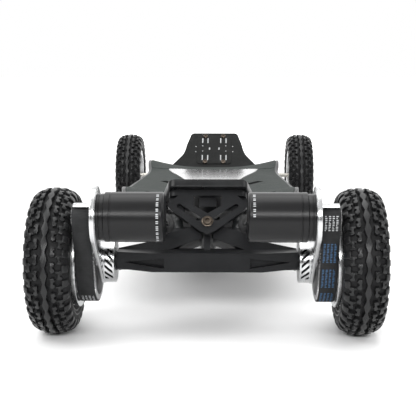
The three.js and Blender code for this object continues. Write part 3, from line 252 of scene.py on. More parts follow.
def plate(outline: Array, low: float, high: float, edge: float) -> Surface:
    """A flat plate in the YZ plane with bevelled rims, between two places on X.

    The rim's inset moves each outline point towards the inside, square to the outline.

    Args:
        outline: points (y, z) in anticlockwise order.
        low: lower X.
        high: upper X.
        edge: size of the bevel.

    Returns:
        The closed surface.
    """
    along = np.roll(outline, -1, axis=0) - np.roll(outline, 1, axis=0)
    normal = np.stack([-along[:, 1], along[:, 0]], axis=1)
    normal /= np.linalg.norm(normal, axis=1, keepdims=True)
    x = np.array([low, low + edge * 0.3, low + edge, high - edge, high - edge * 0.3, high])
    inset = np.array([edge, edge * 0.3, 0, 0, edge * 0.3, edge])
    rings = np.empty((6, len(outline), 3))
    rings[:, :, 0] = x[:, None]
    rings[:, :, 1:] = outline[None] + normal[None] * inset[:, None, None]
    return Surface.stack(rings)


def belt_outline(first: Sequence[float], radius: float, second: Sequence[float], far_radius: float,
                 steps: int) -> Array:
    """The outline round two circles and the two straight lines that touch both.

    Args:
        first: centre of the first circle.
        radius: its radius.
        second: centre of the second circle.
        far_radius: its radius.
        steps: segments on each arc.

    Returns:
        Points (a, b) in anticlockwise order.
    """
    start, end = np.asarray(first, float), np.asarray(second, float)
    across = end - start
    heading = math.atan2(across[1], across[0])
    spread = math.acos((radius - far_radius) / np.linalg.norm(across))
    near = np.linspace(heading + spread, heading + TURN - spread, steps + 1)
    far = np.linspace(heading - spread, heading + spread, steps + 1)
    return np.concatenate([
        start + radius * np.stack([np.cos(near), np.sin(near)], axis=1),
        end + far_radius * np.stack([np.cos(far), np.sin(far)], axis=1),
    ])


def tube(path: Array, radius: float, sides: int) -> Surface:
    """A tube whose rings stand square to a smooth path.

    Args:
        path: points of shape (N, 3).
        radius: radius of the tube.
        sides: divisions round it.

    Returns:
        The closed surface.
    """
    tangent = np.gradient(path, axis=0)
    tangent /= np.linalg.norm(tangent, axis=1, keepdims=True)
    side = np.cross(tangent, np.array([0.0, 0.0, 1.0]))
    side /= np.linalg.norm(side, axis=1, keepdims=True)
    up = np.cross(side, tangent)
    angle = np.arange(sides) * TURN / sides
    ring = np.cos(angle)[None, :, None] * side[:, None] + np.sin(angle)[None, :, None] * up[:, None]
    return Surface.stack(path[:, None] + radius * ring)


def spline(points: Array, count: int) -> Array:
    """A smooth line through points: Catmull-Rom segments worked out for all the samples at once."""
    padded = np.concatenate([[2 * points[0] - points[1]], points, [2 * points[-1] - points[-2]]])
    place = np.linspace(0, len(points) - 1 - 1e-9, count)
    i = place.astype(int)
    t = (place - i)[:, None]
    a, b, c, d = (padded[i + k] for k in range(4))
    return 0.5 * (2 * b + (c - a) * t + (2 * a - 5 * b + 4 * c - d) * t**2 + (3 * b - a - 3 * c + d) * t**3)


# ---------------------------------------------------------------- finishes
class Pattern(Enum):
    """How a finish's fine structure runs over the surface."""

    GRAIN = (1.0, 1.0, 1.0)
    TURNED = (26.0, 1.0, 1.0)
    LENGTHWISE = (1.0, 0.06, 1.0)


class NodeKit:
    """Shader node groups that several finishes share."""

    def __init__(self) -> None:
        """Builds each group once."""
        self.texture_group = self._make_texture_group()
        self.wear_group = self._make_wear_group()

    @staticmethod
    def _socket(group: bpy.types.NodeTree, name: str, way: str, kind: str = "NodeSocketFloat",
                value: float | None = None) -> None:
        """Adds a named socket to a group, with its default value."""
        socket = group.interface.new_socket(name=name, in_out=way, socket_type=kind)
        if value is not None:
            socket.default_value = value

    def _make_texture_group(self) -> bpy.types.NodeTree:
        """Fine grain over slow mottling: puts out Height for a bump and Mottle for colour and gloss.

        Returns:
            The node group.
        """
        group = bpy.data.node_groups.new("surface_texture", "ShaderNodeTree")
        self._socket(group, "Vector", "INPUT", "NodeSocketVector")
        self._socket(group, "Grain Scale", "INPUT", value=900.0)
        self._socket(group, "Mottle Scale", "INPUT", value=30.0)
        self._socket(group, "Height", "OUTPUT")
        self._socket(group, "Mottle", "OUTPUT")
        nodes, links = group.nodes, group.links
        source, sink = nodes.new("NodeGroupInput"), nodes.new("NodeGroupOutput")
        grain, mottle = nodes.new("ShaderNodeTexNoise"), nodes.new("ShaderNodeTexNoise")
        grain.inputs["Detail"].default_value = 4.0
        grain.inputs["Roughness"].default_value = 0.6
        mottle.inputs["Detail"].default_value = 6.0
        for noise, scale in ((grain, "Grain Scale"), (mottle, "Mottle Scale")):
            links.new(source.outputs["Vector"], noise.inputs["Vector"])
            links.new(source.outputs[scale], noise.inputs["Scale"])
        contrast = nodes.new("ShaderNodeMapRange")
        contrast.inputs["From Min"].default_value = 0.3
        contrast.inputs["From Max"].default_value = 0.7
        links.new(mottle.outputs["Fac"], contrast.inputs["Value"])
        links.new(grain.outputs["Fac"], sink.inputs["Height"])
        links.new(contrast.outputs["Result"], sink.inputs["Mottle"])
        return group

    def _make_wear_group(self) -> bpy.types.NodeTree:
        """Dust and light scuffs: puts out a Mask that gathers in slow patches.

        Returns:
            The node group.
        """
        group = bpy.data.node_groups.new("dust_and_scuffs", "ShaderNodeTree")
        self._socket(group, "Vector", "INPUT", "NodeSocketVector")
        self._socket(group, "Amount", "INPUT", value=0.2)
        self._socket(group, "Mask", "OUTPUT")
        nodes, links = group.nodes, group.links
        source, sink = nodes.new("NodeGroupInput"), nodes.new("NodeGroupOutput")
        patches = nodes.new("ShaderNodeTexNoise")
        patches.inputs["Scale"].default_value = 45.0
        patches.inputs["Detail"].default_value = 8.0
        patches.inputs["Roughness"].default_value = 0.7
        cut = nodes.new("ShaderNodeMapRange")
        cut.inputs["From Min"].default_value = 0.48
        cut.inputs["From Max"].default_value = 0.75
        scale = nodes.new("ShaderNodeMath")
        scale.operation = "MULTIPLY"
        links.new(source.outputs["Vector"], patches.inputs["Vector"])
        links.new(patches.outputs["Fac"], cut.inputs["Value"])
        links.new(cut.outputs["Result"], scale.inputs[0])
        links.new(source.outputs["Amount"], scale.inputs[1])
        links.new(scale.outputs["Value"], sink.inputs["Mask"])
        return group


@dataclass(frozen=True)
class Finish:
    """One material: two close colours mottled together, fine relief, dust, and gloss that varies."""

    name: str
    slot: str
    color: Color
    tint: Color
    metallic: float = 0.0
    roughness: tuple[float, float] = (0.4, 0.6)
    pattern: Pattern = Pattern.GRAIN
    grain_scale: float = 900.0
    mottle_scale: float = 30.0
    relief: float = 0.1
    relief_depth: float = 0.0004
    dust: float = 0.1
    dust_color: Color = (0.25, 0.24, 0.22)
    coat: float = 0.0
    coat_roughness: float = 0.08
    specular: float = 0.5

    def build(self, kit: NodeKit) -> bpy.types.Material:
        """Makes the node material.

        Args:
            kit: the shared node groups.

        Returns:
            The material.
        """
        material = bpy.data.materials.new(self.name)
        material.use_nodes = True
        nodes, links = material.node_tree.nodes, material.node_tree.links
        shader = nodes["Principled BSDF"]
        shader.inputs["Metallic"].default_value = self.metallic
        shader.inputs["Coat Weight"].default_value = self.coat
        shader.inputs["Coat Roughness"].default_value = self.coat_roughness
        shader.inputs["Coat IOR"].default_value = 1.7
        shader.inputs["Specular IOR Level"].default_value = self.specular
        place = nodes.new("ShaderNodeTexCoord")
        mapping = nodes.new("ShaderNodeMapping")
        mapping.inputs["Scale"].default_value = self.pattern.value
        texture = nodes.new("ShaderNodeGroup")
        texture.node_tree = kit.texture_group
        texture.inputs["Grain Scale"].default_value = self.grain_scale
        texture.inputs["Mottle Scale"].default_value = self.mottle_scale
        wear = nodes.new("ShaderNodeGroup")
        wear.node_tree = kit.wear_group
        wear.inputs["Amount"].default_value = self.dust
        links.new(place.outputs["Object"], mapping.inputs["Vector"])
        links.new(mapping.outputs["Vector"], texture.inputs["Vector"])
        links.new(place.outputs["Object"], wear.inputs["Vector"])
        mix = nodes.new("ShaderNodeMix")
        mix.data_type = "RGBA"
        mix.inputs["A"].default_value = (*self.color, 1)
        mix.inputs["B"].default_value = (*self.tint, 1)
        dusty = nodes.new("ShaderNodeMix")
        dusty.data_type = "RGBA"
        dusty.inputs["B"].default_value = (*self.dust_color, 1)
        links.new(texture.outputs["Mottle"], mix.inputs["Factor"])
        links.new(mix.outputs["Result"], dusty.inputs["A"])
        links.new(wear.outputs["Mask"], dusty.inputs["Factor"])
        links.new(dusty.outputs["Result"], shader.inputs["Base Color"])
        gloss = nodes.new("ShaderNodeMapRange")
        gloss.inputs["To Min"].default_value = self.roughness[0]
        gloss.inputs["To Max"].default_value = self.roughness[1]
        links.new(texture.outputs["Mottle"], gloss.inputs["Value"])
        links.new(gloss.outputs["Result"], shader.inputs["Roughness"])
        bump = nodes.new("ShaderNodeBump")
        bump.inputs["Strength"].default_value = self.relief
        bump.inputs["Distance"].default_value = self.relief_depth
        links.new(texture.outputs["Height"], bump.inputs["Height"])
        links.new(bump.outputs["Normal"], shader.inputs["Normal"])
        return material


TYRE = Finish("tyre_rubber", "tyre_rubber", (0.0055, 0.0057, 0.006), (0.01, 0.0103, 0.0108), 0.0, (0.26, 0.42),
              grain_scale=1500, mottle_scale=40, relief=0.25, relief_depth=0.0003, dust=0.1,
              dust_color=(0.03, 0.029, 0.028), specular=0.3)
SILVER = Finish("machined_alloy", "silver_alloy", (0.5, 0.505, 0.51), (0.62, 0.625, 0.63), 1.0, (0.16, 0.3),
                Pattern.TURNED, 60, 18, 0.05, 0.0001, 0.05, (0.5, 0.49, 0.47))
STEEL = Finish("turned_steel", "steel", (0.4, 0.39, 0.36), (0.56, 0.54, 0.5), 1.0, (0.22, 0.38),
               Pattern.TURNED, 80, 50, 0.08, 0.0001, 0.12, (0.2, 0.18, 0.16))
ANODISED = Finish("black_anodised", "black_anodised", (0.0065, 0.0068, 0.0075), (0.011, 0.0114, 0.0124), 0.1,
                  (0.3, 0.42), grain_scale=2200, mottle_scale=25, relief=0.2, relief_depth=0.0002, dust=0.08,
                  dust_color=(0.03, 0.03, 0.03), specular=0.14)
MOTOR = Finish("motor_black", "motor_black", (0.003, 0.003, 0.0034), (0.0045, 0.0045, 0.005), 0.0, (0.27, 0.32),
               Pattern.GRAIN, 900, 12, 0.01, 0.0001, 0.02, (0.04, 0.04, 0.04), specular=0.25)
COMPOSITE = Finish("deck_composite", "deck_composite", (0.005, 0.0052, 0.0058), (0.009, 0.0094, 0.0102), 0.0,
                   (0.26, 0.4), Pattern.LENGTHWISE, 500, 60, 0.2, 0.0002, 0.08, (0.05, 0.05, 0.05), specular=0.23)
GRIP = Finish("grip_tape", "grip_tape", (0.022, 0.026, 0.0245), (0.06, 0.067, 0.064), 0.0, (0.7, 0.95),
              grain_scale=620, mottle_scale=420, relief=0.9, relief_depth=0.0009, dust=0.15,
              dust_color=(0.12, 0.13, 0.12), specular=0.15)
# A darker copy of the grip tape: painted shade on the steep tips' tops and on the bolt plates over them.
SHADED_TIP_GRIP = Finish("tip_grip_painted_shade", "grip_tape", (0.006, 0.0064, 0.0064), (0.019, 0.0196, 0.0192), 0.0, (0.6, 0.85),
                  grain_scale=700, mottle_scale=500, relief=0.8, relief_depth=0.0006, dust=0.15,
                  dust_color=(0.06, 0.06, 0.058), specular=0.12)
GLOSS = Finish("gloss_panel", "gloss_panel", (0.004, 0.0041, 0.0046), (0.006, 0.0061, 0.0068), 0.0, (0.12, 0.2),
               grain_scale=1500, mottle_scale=12, relief=0.02, relief_depth=0.0001, dust=0.02, coat=1.0,
               coat_roughness=0.24, specular=1.0)
# Also used on the tyre's carcass and on the faces in the mount clamp's slots, where its darker tone is painted shade.
RUBBER = Finish("matt_rubber", "rubber", (0.005, 0.005, 0.0055), (0.009, 0.009, 0.0095), 0.0, (0.5, 0.7),
                grain_scale=1200, mottle_scale=60, relief=0.2, relief_depth=0.0003, dust=0.1,
                dust_color=(0.04, 0.04, 0.04), specular=0.17)
# Near-black, almost unreflecting finish for the grip slits: painted shade inside the slits.
SLIT_SHADE = Finish("painted_slit_shade", "rubber", (0.001, 0.001, 0.0012), (0.002, 0.002, 0.0022), 0.0, (0.8, 0.95),
                grain_scale=900, mottle_scale=80, relief=0.2, relief_depth=0.0002, dust=0.03,
                dust_color=(0.01, 0.01, 0.01), specular=0.02)
PLASTIC = Finish("textured_plastic", "enclosure_plastic", (0.007, 0.007, 0.008), (0.012, 0.012, 0.0135), 0.0,
                 (0.42, 0.58), grain_scale=1800, mottle_scale=30, relief=0.35, relief_depth=0.0003, dust=0.08,
                 dust_color=(0.05, 0.05, 0.05), specular=0.2)
URETHANE = Finish("urethane", "urethane", (0.008, 0.009, 0.0095), (0.014, 0.0155, 0.016), 0.0, (0.38, 0.52),
                  grain_scale=600, mottle_scale=80, relief=0.15, relief_depth=0.0003, dust=0.12,
                  dust_color=(0.05, 0.05, 0.05))
MARKING = Finish("pale_marking", "rubber", (0.3, 0.31, 0.32), (0.45, 0.46, 0.47), 0.0, (0.5, 0.65),
                 grain_scale=900, mottle_scale=300, relief=0.1, relief_depth=0.0001, dust=0.2)
BLUE_MARKING = Finish("blue_marking", "rubber", (0.015, 0.06, 0.14), (0.03, 0.1, 0.21), 0.0, (0.5, 0.65),
                      grain_scale=900, mottle_scale=300, relief=0.1, relief_depth=0.0001, dust=0.2,
                      dust_color=(0.01, 0.02, 0.03))
BRONZE = Finish("bronzed_steel", "steel", (0.05, 0.04, 0.032), (0.1, 0.082, 0.066), 1.0, (0.2, 0.36), Pattern.GRAIN,
                400, 60, 0.1, 0.0002, 0.15, (0.06, 0.05, 0.04))
PULLEY = Finish("pulley_alloy", "silver_alloy", (0.3, 0.3, 0.305), (0.45, 0.45, 0.455), 1.0, (0.3, 0.48),
                Pattern.TURNED, 60, 25, 0.1, 0.0001, 0.15, (0.12, 0.12, 0.12))
BELT = Finish("belt_rubber", "belt_rubber", (0.008, 0.0083, 0.0087), (0.015, 0.0155, 0.0163), 0.0, (0.45, 0.65),
              grain_scale=900, mottle_scale=90, relief=0.2, relief_depth=0.0002, dust=0.15,
              dust_color=(0.05, 0.05, 0.049), specular=0.2)
WRAP = Finish("battery_wrap", "battery_wrap", (0.02, 0.07, 0.16), (0.03, 0.1, 0.22), 0.0, (0.3, 0.45),
              grain_scale=500, mottle_scale=30, relief=0.2, relief_depth=0.0004, dust=0.02)


# ---------------------------------------------------------------- pieces
@dataclass
class Workshop:
    """Turns surfaces and CAD nodes into finished Blender pieces, and keeps the list of them."""

    kit: NodeKit
    materials: dict[str, bpy.types.Material] = field(default_factory=dict)
    made: list[bpy.types.Object] = field(default_factory=list)

    def material(self, finish: Finish) -> bpy.types.Material:
        """The finish's material, made the first time it is asked for."""
        if finish.name not in self.materials:
            self.materials[finish.name] = finish.build(self.kit)
        return self.materials[finish.name]

    def _settle(self, piece: bpy.types.Object, finishes: Sequence[Finish], body: str, replaces: Sequence[str],
                bevel: float, sharp: float) -> bpy.types.Object:
        """Shades, dresses and attaches a piece.

        Args:
            piece: the object, with its mesh in the row frame.
            finishes: a finish for each material number.
            body: the CAD body that it moves with.
            replaces: the CAD nodes that it stands for.
            bevel: width of an edge bevel in millimetres, or 0 for none.
            sharp: angle in degrees above which an edge is drawn sharp.

        Returns:
            The same object.
        """
        mesh = piece.data
        mesh.materials.clear()
        for finish in finishes:
            mesh.materials.append(self.material(finish))
        mesh.shade_smooth()
        mesh.set_sharp_from_angle(angle=math.radians(sharp))
        if bevel:
            modifier = piece.modifiers.new("edges", "BEVEL")
            modifier.width = bevel * MM
            modifier.segments = 2
            modifier.limit_method = "ANGLE"
            modifier.angle_limit = math.radians(35)
            modifier.harden_normals = True
        if body:
            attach(piece, body)
        if replaces:
            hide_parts(*replaces)
        self.made.append(piece)
        return piece

    def new(self, name: str, surface: Surface, finishes: Sequence[Finish], body: str,
            replaces: Sequence[str] = (), bevel: float = 0.0, sharp: float = 38.0) -> bpy.types.Object:
        """Makes a piece from a surface in the row frame, in millimetres.

        Args:
            name: name of the piece.
            surface: its closed surfaces.
            finishes: a finish for each material number.
            body: the CAD body that it moves with.
            replaces: the CAD nodes that it stands for.
            bevel: width of an edge bevel in millimetres.
            sharp: angle in degrees above which an edge is drawn sharp.

        Returns:
            The new object.
        """
        mesh = bpy.data.meshes.new(name)
        faces = [face for block, _ in surface.blocks for face in block.tolist()]
        mesh.from_pydata((surface.points * MM).tolist(), [], faces)
        slots = np.concatenate([np.full(len(block), slot, np.int32) for block, slot in surface.blocks])
        work = bmesh.new()
        work.from_mesh(mesh)
        bmesh.ops.recalc_face_normals(work, faces=work.faces)
        work.to_mesh(mesh)
        work.free()
        piece = bpy.data.objects.new(name, mesh)
        bpy.context.scene.collection.objects.link(piece)
        self._settle(piece, finishes, body, replaces, bevel, sharp)
        mesh.polygons.foreach_set("material_index", slots)
        mesh.validate()
        return piece

    def carried(self, node: str, finish: Finish, bevel: float = 0.5, sharp: float = 38.0) -> bpy.types.Object:
        """Makes a fine copy of a CAD node: points merged, flat faces joined up and edges bevelled.

        Args:
            node: the CAD node.
            finish: its finish.
            bevel: width of the edge bevel in millimetres.
            sharp: angle in degrees above which an edge is drawn sharp.

        Returns:
            The new object.
        """
        mesh = FRAME["nodes"][node].data.copy()
        mesh.name = f"{node}_fine"
        work = bmesh.new()
        work.from_mesh(mesh)
        bmesh.ops.remove_doubles(work, verts=work.verts, dist=0.00001)
        bmesh.ops.dissolve_limit(work, angle_limit=math.radians(1.0), verts=work.verts, edges=work.edges)
        bmesh.ops.recalc_face_normals(work, faces=work.faces)
        work.to_mesh(mesh)
        work.free()
        piece = bpy.data.objects.new(f"{node}_fine", mesh)
        bpy.context.scene.collection.objects.link(piece)
        mesh.polygons.foreach_set("material_index", np.zeros(len(mesh.polygons), np.int32))
        return self._settle(piece, [finish], body_of(FRAME["nodes"][node])[0], [node], bevel, sharp)


def repeated(surface: Surface, matrices: Array) -> Surface:
    """Copies of a surface, one for each 4x4 matrix in an array of shape (K, 4, 4)."""
    count = len(surface.points)
    points = np.einsum("kij,nj->kni", matrices[:, :3, :3], surface.points) + matrices[:, None, :3, 3]
    shift = (np.arange(len(matrices)) * count)[:, None, None]
    blocks = [((faces[None] + shift).reshape(-1, faces.shape[1]), slot) for faces, slot in surface.blocks]
    return Surface(points.reshape(-1, 3), blocks)


def spun(surface: Surface, count: int, start: float = 0.0) -> Surface:
    """Copies of a surface at equal turns about X, the first one turned by a start angle."""
    return repeated(surface, np.stack([turn_matrix("x", start + TURN * k / count) for k in range(count)]))


# ---------------------------------------------------------------- places
AXLE_Z = 100.0
TIP_ANGLE = math.radians(35)
TRACK_HALF = 205.5
MOTOR_PLACE = (-68.0, 71.5)
GAP = 0.3
WHEEL_TEETH = 68
MOTOR_TEETH = 17
BELT_PITCH = 5.0
TOOTH_DEPTH = 1.9
WHEEL_TIP_RADIUS = WHEEL_TEETH * BELT_PITCH / TURN - 0.7
MOTOR_TIP_RADIUS = MOTOR_TEETH * BELT_PITCH / TURN - 0.7
BELT_STEPS = 720
DAMPER_X = 44.0


class End(Enum):
    """The two trucks: the row frame's place of each axle, and the turn from the rear truck's frame."""

    REAR = ("rear", -491.0, 0.0)
    FRONT = ("front", 499.0, math.pi)

    @property
    def label(self) -> str:
        """The start of its pieces' names."""
        return self.value[0]

    @property
    def matrix(self) -> Array:
        """From the truck's frame to the row frame."""
        _, y, turn = self.value
        return shift_matrix(0, y, AXLE_Z) @ turn_matrix("z", turn)

    @property
    def kingpin(self) -> Array:
        """From the kingpin's frame to the row frame."""
        drop = 53.3
        tilt = shift_matrix(0, drop * math.sin(TIP_ANGLE), drop * math.cos(TIP_ANGLE))
        return self.matrix @ tilt @ turn_matrix("x", -TIP_ANGLE)

    def side(self, sign: int) -> str:
        """The row frame's name of the side at +X or -X of the truck's own frame."""
        facing = 1 if self is End.REAR else -1
        return "right" if sign * facing > 0 else "left"


MIRROR = np.diag([-1.0, 1.0, 1.0, 1.0])


# ---------------------------------------------------------------- wheels
@dataclass
class Tyre:
    """A pneumatic tyre about X = 0: carcass, a rib with zigzag edges, and rows of chunky knobs."""

    radius: float = 99.7
    half_width: float = 29.5
    pitches: int = 30
    steps: int = 180
    rib_half: float = 3.4
    zigzag: float = 1.5

    def crown(self, x: Array) -> Array:
        """Radius of the tread's outer surface: it falls by a power of the distance from the middle."""
        return self.radius - 11.0 * (np.abs(x) / self.half_width) ** 2.5

    def carcass(self) -> Surface:
        """The casing, as a closed ring with the air space left open towards the rim."""
        half = [(22.7, 54.3), (22.7, 61.8), (23.8, 63.5), (26.2, 66.5), (28.1, 70.5), (29.0, 75), (29.1, 79.5),
                (28.3, 83.5), (26.6, 86.6), (23.8, 89.2), (20.0, 91.0), (15.0, 92.2), (9.5, 92.9), (4.5, 93.1)]
        outer = [*half, (0.0, 93.1), *[(-x, r) for x, r in half[::-1]]]
        hollow = [(16.7, 54.3), (21.0, 66), (23.3, 76), (21.5, 82), (13, 86.5), (0, 87.5)]
        inner = [*hollow, *[(-x, r) for x, r in hollow[-2::-1]]][::-1]
        return Surface.turned([*outer, *inner], self.steps)

    def side_rings(self) -> Surface:
        """Thin raised rings on both side walls."""
        ring = [(28.5, 73.0), (29.3, 73.4), (29.4, 74.2), (28.8, 74.7), (28.0, 73.8)]
        both = Surface.turned(ring, self.steps) + Surface.turned([(x - 1.3, r - 5.4) for x, r in ring], self.steps)
        return both + both.placed(MIRROR)

    def rib(self) -> Surface:
        """The central rib: a closed band whose edges swing from side to side as a triangle wave."""
        angle = np.arange(self.steps) * TURN / self.steps
        wave = self.zigzag * (2 * np.abs((angle * self.pitches / math.pi) % 2 - 1) - 1)
        share = np.array([1.0, 1.0, 0.86, 0.5, 0.0, -0.5, -0.86, -1.0, -1.0])
        radius = np.array([92.0, 98.4, 99.4, 99.65, 99.7, 99.65, 99.4, 98.4, 92.0])
        x = share * self.rib_half + np.sign(share) * wave[:, None]
        r = np.broadcast_to(radius, x.shape)
        points = np.stack([x, np.cos(angle)[:, None] * r, np.sin(angle)[:, None] * r], axis=-1)
        return Surface.grid(points, wrap_u=True, wrap_v=True)

    def knob(self, outline: Sequence[Sequence[float]], turn: float, height: float = 0.0) -> Surface:
        """One row of knobs round the tyre, from an outline (x, arc length), wrapped over the crown.

        Each point goes from the plane (x, s) to the angle s / radius about X, on four levels: under the
        casing, near the top, and the top with its rim drawn in twice.

        Args:
            outline: corners of the knob.
            turn: angle of the first knob.
            height: how far the top stands over the crown.

        Returns:
            The row.
        """
        edge = rounded(outline, 1.0, 2)
        centre = edge.mean(axis=0)
        edge = centre + (edge - centre) * 0.86
        levels = [(1.06, None), (1.0, -1.0), (0.965, -0.3), (0.88, 0.0)]
        rings = np.empty((len(levels), len(edge), 3))
        for k, (scale, drop) in enumerate(levels):
            x = centre[0] + (edge[:, 0] - centre[0]) * scale
            s = centre[1] + (edge[:, 1] - centre[1]) * scale
            top = self.crown(x) + height
            r = top - 9.0 if drop is None else top + drop
            rings[k] = np.stack([x, r * np.cos(s / self.radius), r * np.sin(s / self.radius)], axis=1)
        return spun(Surface.stack(rings), self.pitches, turn)

    def shoulder(self, turn: float) -> Surface:
        """A row of knobs that wrap over the shoulder and down the side wall.

        Args:
            turn: angle of the first knob.

        Returns:
            The row.
        """
        section = [(22.6, 94.2), (25.0, 92.6), (27.2, 90.2), (28.9, 87.0), (29.5, 83.4), (28.9, 80.6), (26.0, 82.0),
                   (22.0, 88.0)]
        outline = rounded(section, 0.8, 2)
        middle = outline.mean(axis=0)
        half = np.array([-5.0, -4.5, -3.9, 3.9, 4.5, 5.0])
        scale = np.array([0.84, 0.96, 1.0, 1.0, 0.96, 0.84])
        place = middle + (outline[None] - middle) * scale[:, None, None]
        angle = np.broadcast_to(half[:, None] / self.radius, place.shape[:2])
        rings = np.stack([place[..., 0], place[..., 1] * np.cos(angle), place[..., 1] * np.sin(angle)], axis=-1)
        return spun(Surface.stack(rings), self.pitches, turn)

    def build(self) -> Surface:
        """The whole tyre. Its carcass, which shows in the gaps between the knobs, takes the second finish, darker and
        duller than the knob tops, as painted shade in the gaps.
        """
        inner = [(7.4, -8.2), (13.2, -8.6), (15.4, -4.4), (12.4, -3.0), (11.6, 0.6), (14.8, 2.6), (14.4, 6.6),
                 (9.6, 8.0), (7.4, 4.0), (8.6, -1.0)]
        outer = [(16.8, -6.6), (22.6, -7.4), (24.4, -3.2), (20.8, -1.4), (20.6, 1.8), (24.0, 3.6), (22.4, 7.6),
                 (16.2, 6.2), (17.6, 0.4)]
        link = [(14.6, -1.8), (18.4, -2.4), (18.8, 1.0), (14.8, 1.4)]
        pitch = TURN / self.pitches
        side = (self.knob(inner, 0.0) + self.knob(outer, pitch / 2) + self.knob(link, pitch * 0.3, -1.2)
                + self.shoulder(pitch * 0.1))
        opposite = side.placed(MIRROR @ turn_matrix("x", pitch / 2))
        # painted shade: the carcass between the knobs takes the second finish, the darker matt rubber
        return self.carcass().in_slot(1) + self.side_rings() + self.rib() + side + opposite


@dataclass
class Hub:
    """A cast rim with lips, five spokes and a sleeve, about X = 0."""

    spokes: int = 5
    steps: int = 96

    def rim(self) -> Surface:
        """The rim: its section runs from lip to lip along the outside, then back along the inside."""
        outside = [(23.0, 54.0), (23.3, 60.6), (24.1, 61.5), (25.3, 61.4), (26.0, 60.4), (26.0, 51.0), (25.1, 49.4),
                   (22.0, 49.0), (11.0, 47.8)]
        mirrored = [(-x, r) for x, r in outside[::-1]]
        return Surface.turned([*outside, *mirrored, (-20.5, 53.4), (20.5, 53.4)], self.steps)

    def sleeve(self) -> Surface:
        """The bearing's sleeve, with a rounded rim at each end."""
        profile = [(-16, 14.3), (-16, 18.6), (-15, 19.6), (-12, 20), (12, 20), (15, 19.6), (16, 18.6), (16, 14.3)]
        return Surface.turned(profile, 64)

    def spoke(self) -> Surface:
        """The spokes, wide at both ends and waisted between them."""
        z = np.array([17.0, 21.0, 26.0, 33.0, 40.0, 45.0, 49.6])
        wide = np.array([9.5, 7.4, 5.9, 5.2, 5.9, 7.8, 10.4])
        deep = np.array([8.6, 8.0, 7.6, 7.4, 7.6, 8.2, 9.2])
        outline = rounded([(1, 1), (-1, 1), (-1, -1), (1, -1)], 0.55, 4)
        rings = np.empty((len(z), len(outline), 3))
        rings[:, :, 0] = outline[None, :, 0] * deep[:, None]
        rings[:, :, 1] = outline[None, :, 1] * wide[:, None]
        rings[:, :, 2] = z[:, None]
        return spun(Surface.stack(rings), self.spokes)

    def build(self) -> Surface:
        """The whole hub."""
        return self.rim() + self.sleeve() + self.spoke()


def bearing() -> Surface:
    """A pair of shielded bearings about X = 0: races, a recessed shield and a bore."""
    profile = [(-15, 5.3), (-15, 7.4), (-14.2, 7.8), (-14.2, 11.6), (-15, 12.1), (-15, 13.6), (-14.6, 14), (14.6, 14),
               (15, 13.6), (15, 12.1), (14.2, 11.6), (14.2, 7.8), (15, 7.4), (15, 5.3)]
    return Surface.turned(profile, 48)


def hex_nut(start: float, length: float, radius: float, bore: float) -> Surface:
    """A hexagonal nut along X with chamfered corners.

    The outline keeps six flats; near each end its corners are cut to a circle.

    Args:
        start: first X.
        length: length along X.
        radius: radius at the corners.
        bore: radius of the hole.

    Returns:
        The closed ring.
    """
    steps = 72
    angle = np.arange(steps) * TURN / steps
    flat = hexagon(radius, angle)
    cut = radius * 0.9
    levels = [(start, None), (start, cut), (start + 0.9, radius), (start + length - 0.9, radius),
              (start + length, cut), (start + length, None)]
    rings = []
    for x, limit in levels:
        r = np.full(steps, bore) if limit is None else np.minimum(flat, limit)
        rings.append(ring_points(x, r, angle))
    return Surface.grid(np.stack(rings), wrap_u=True, wrap_v=True)


@dataclass
class Wheel:
    """A wheel with its tyre, hub, bearing and axle nut, on one end of one axle."""

    shop: Workshop
    end: End
    sign: int

    def dress(self) -> None:
        """Places the wheel's pieces."""
        side = self.end.side(self.sign)
        label = f"{self.end.label}_{side}"
        body = f"{label}_wheel"
        mirror = MIRROR if self.sign < 0 else np.eye(4)
        place = self.end.matrix @ mirror @ shift_matrix(TRACK_HALF, 0, 0)
        # The tyre's second finish, the darker matt rubber on its carcass, is painted shade between the knobs.
        shapes = [("tyre", Tyre().build(), [TYRE, RUBBER]), ("hub", Hub().build(), [SILVER]),
                  ("bearing", bearing(), [STEEL])]
        for name, surface, finishes in shapes:
            node = f"{label}_{name}"
            self.shop.new(f"{node}_fine", surface.placed(place), finishes, body, [node])
        nut = hex_nut(221.8, 7.0, 8.5, 5.3).placed(self.end.matrix @ mirror)
        node = f"{label}_axle_nut"
        self.shop.new(f"{node}_fine", nut, [STEEL], body_of(FRAME["nodes"][node])[0], [node])


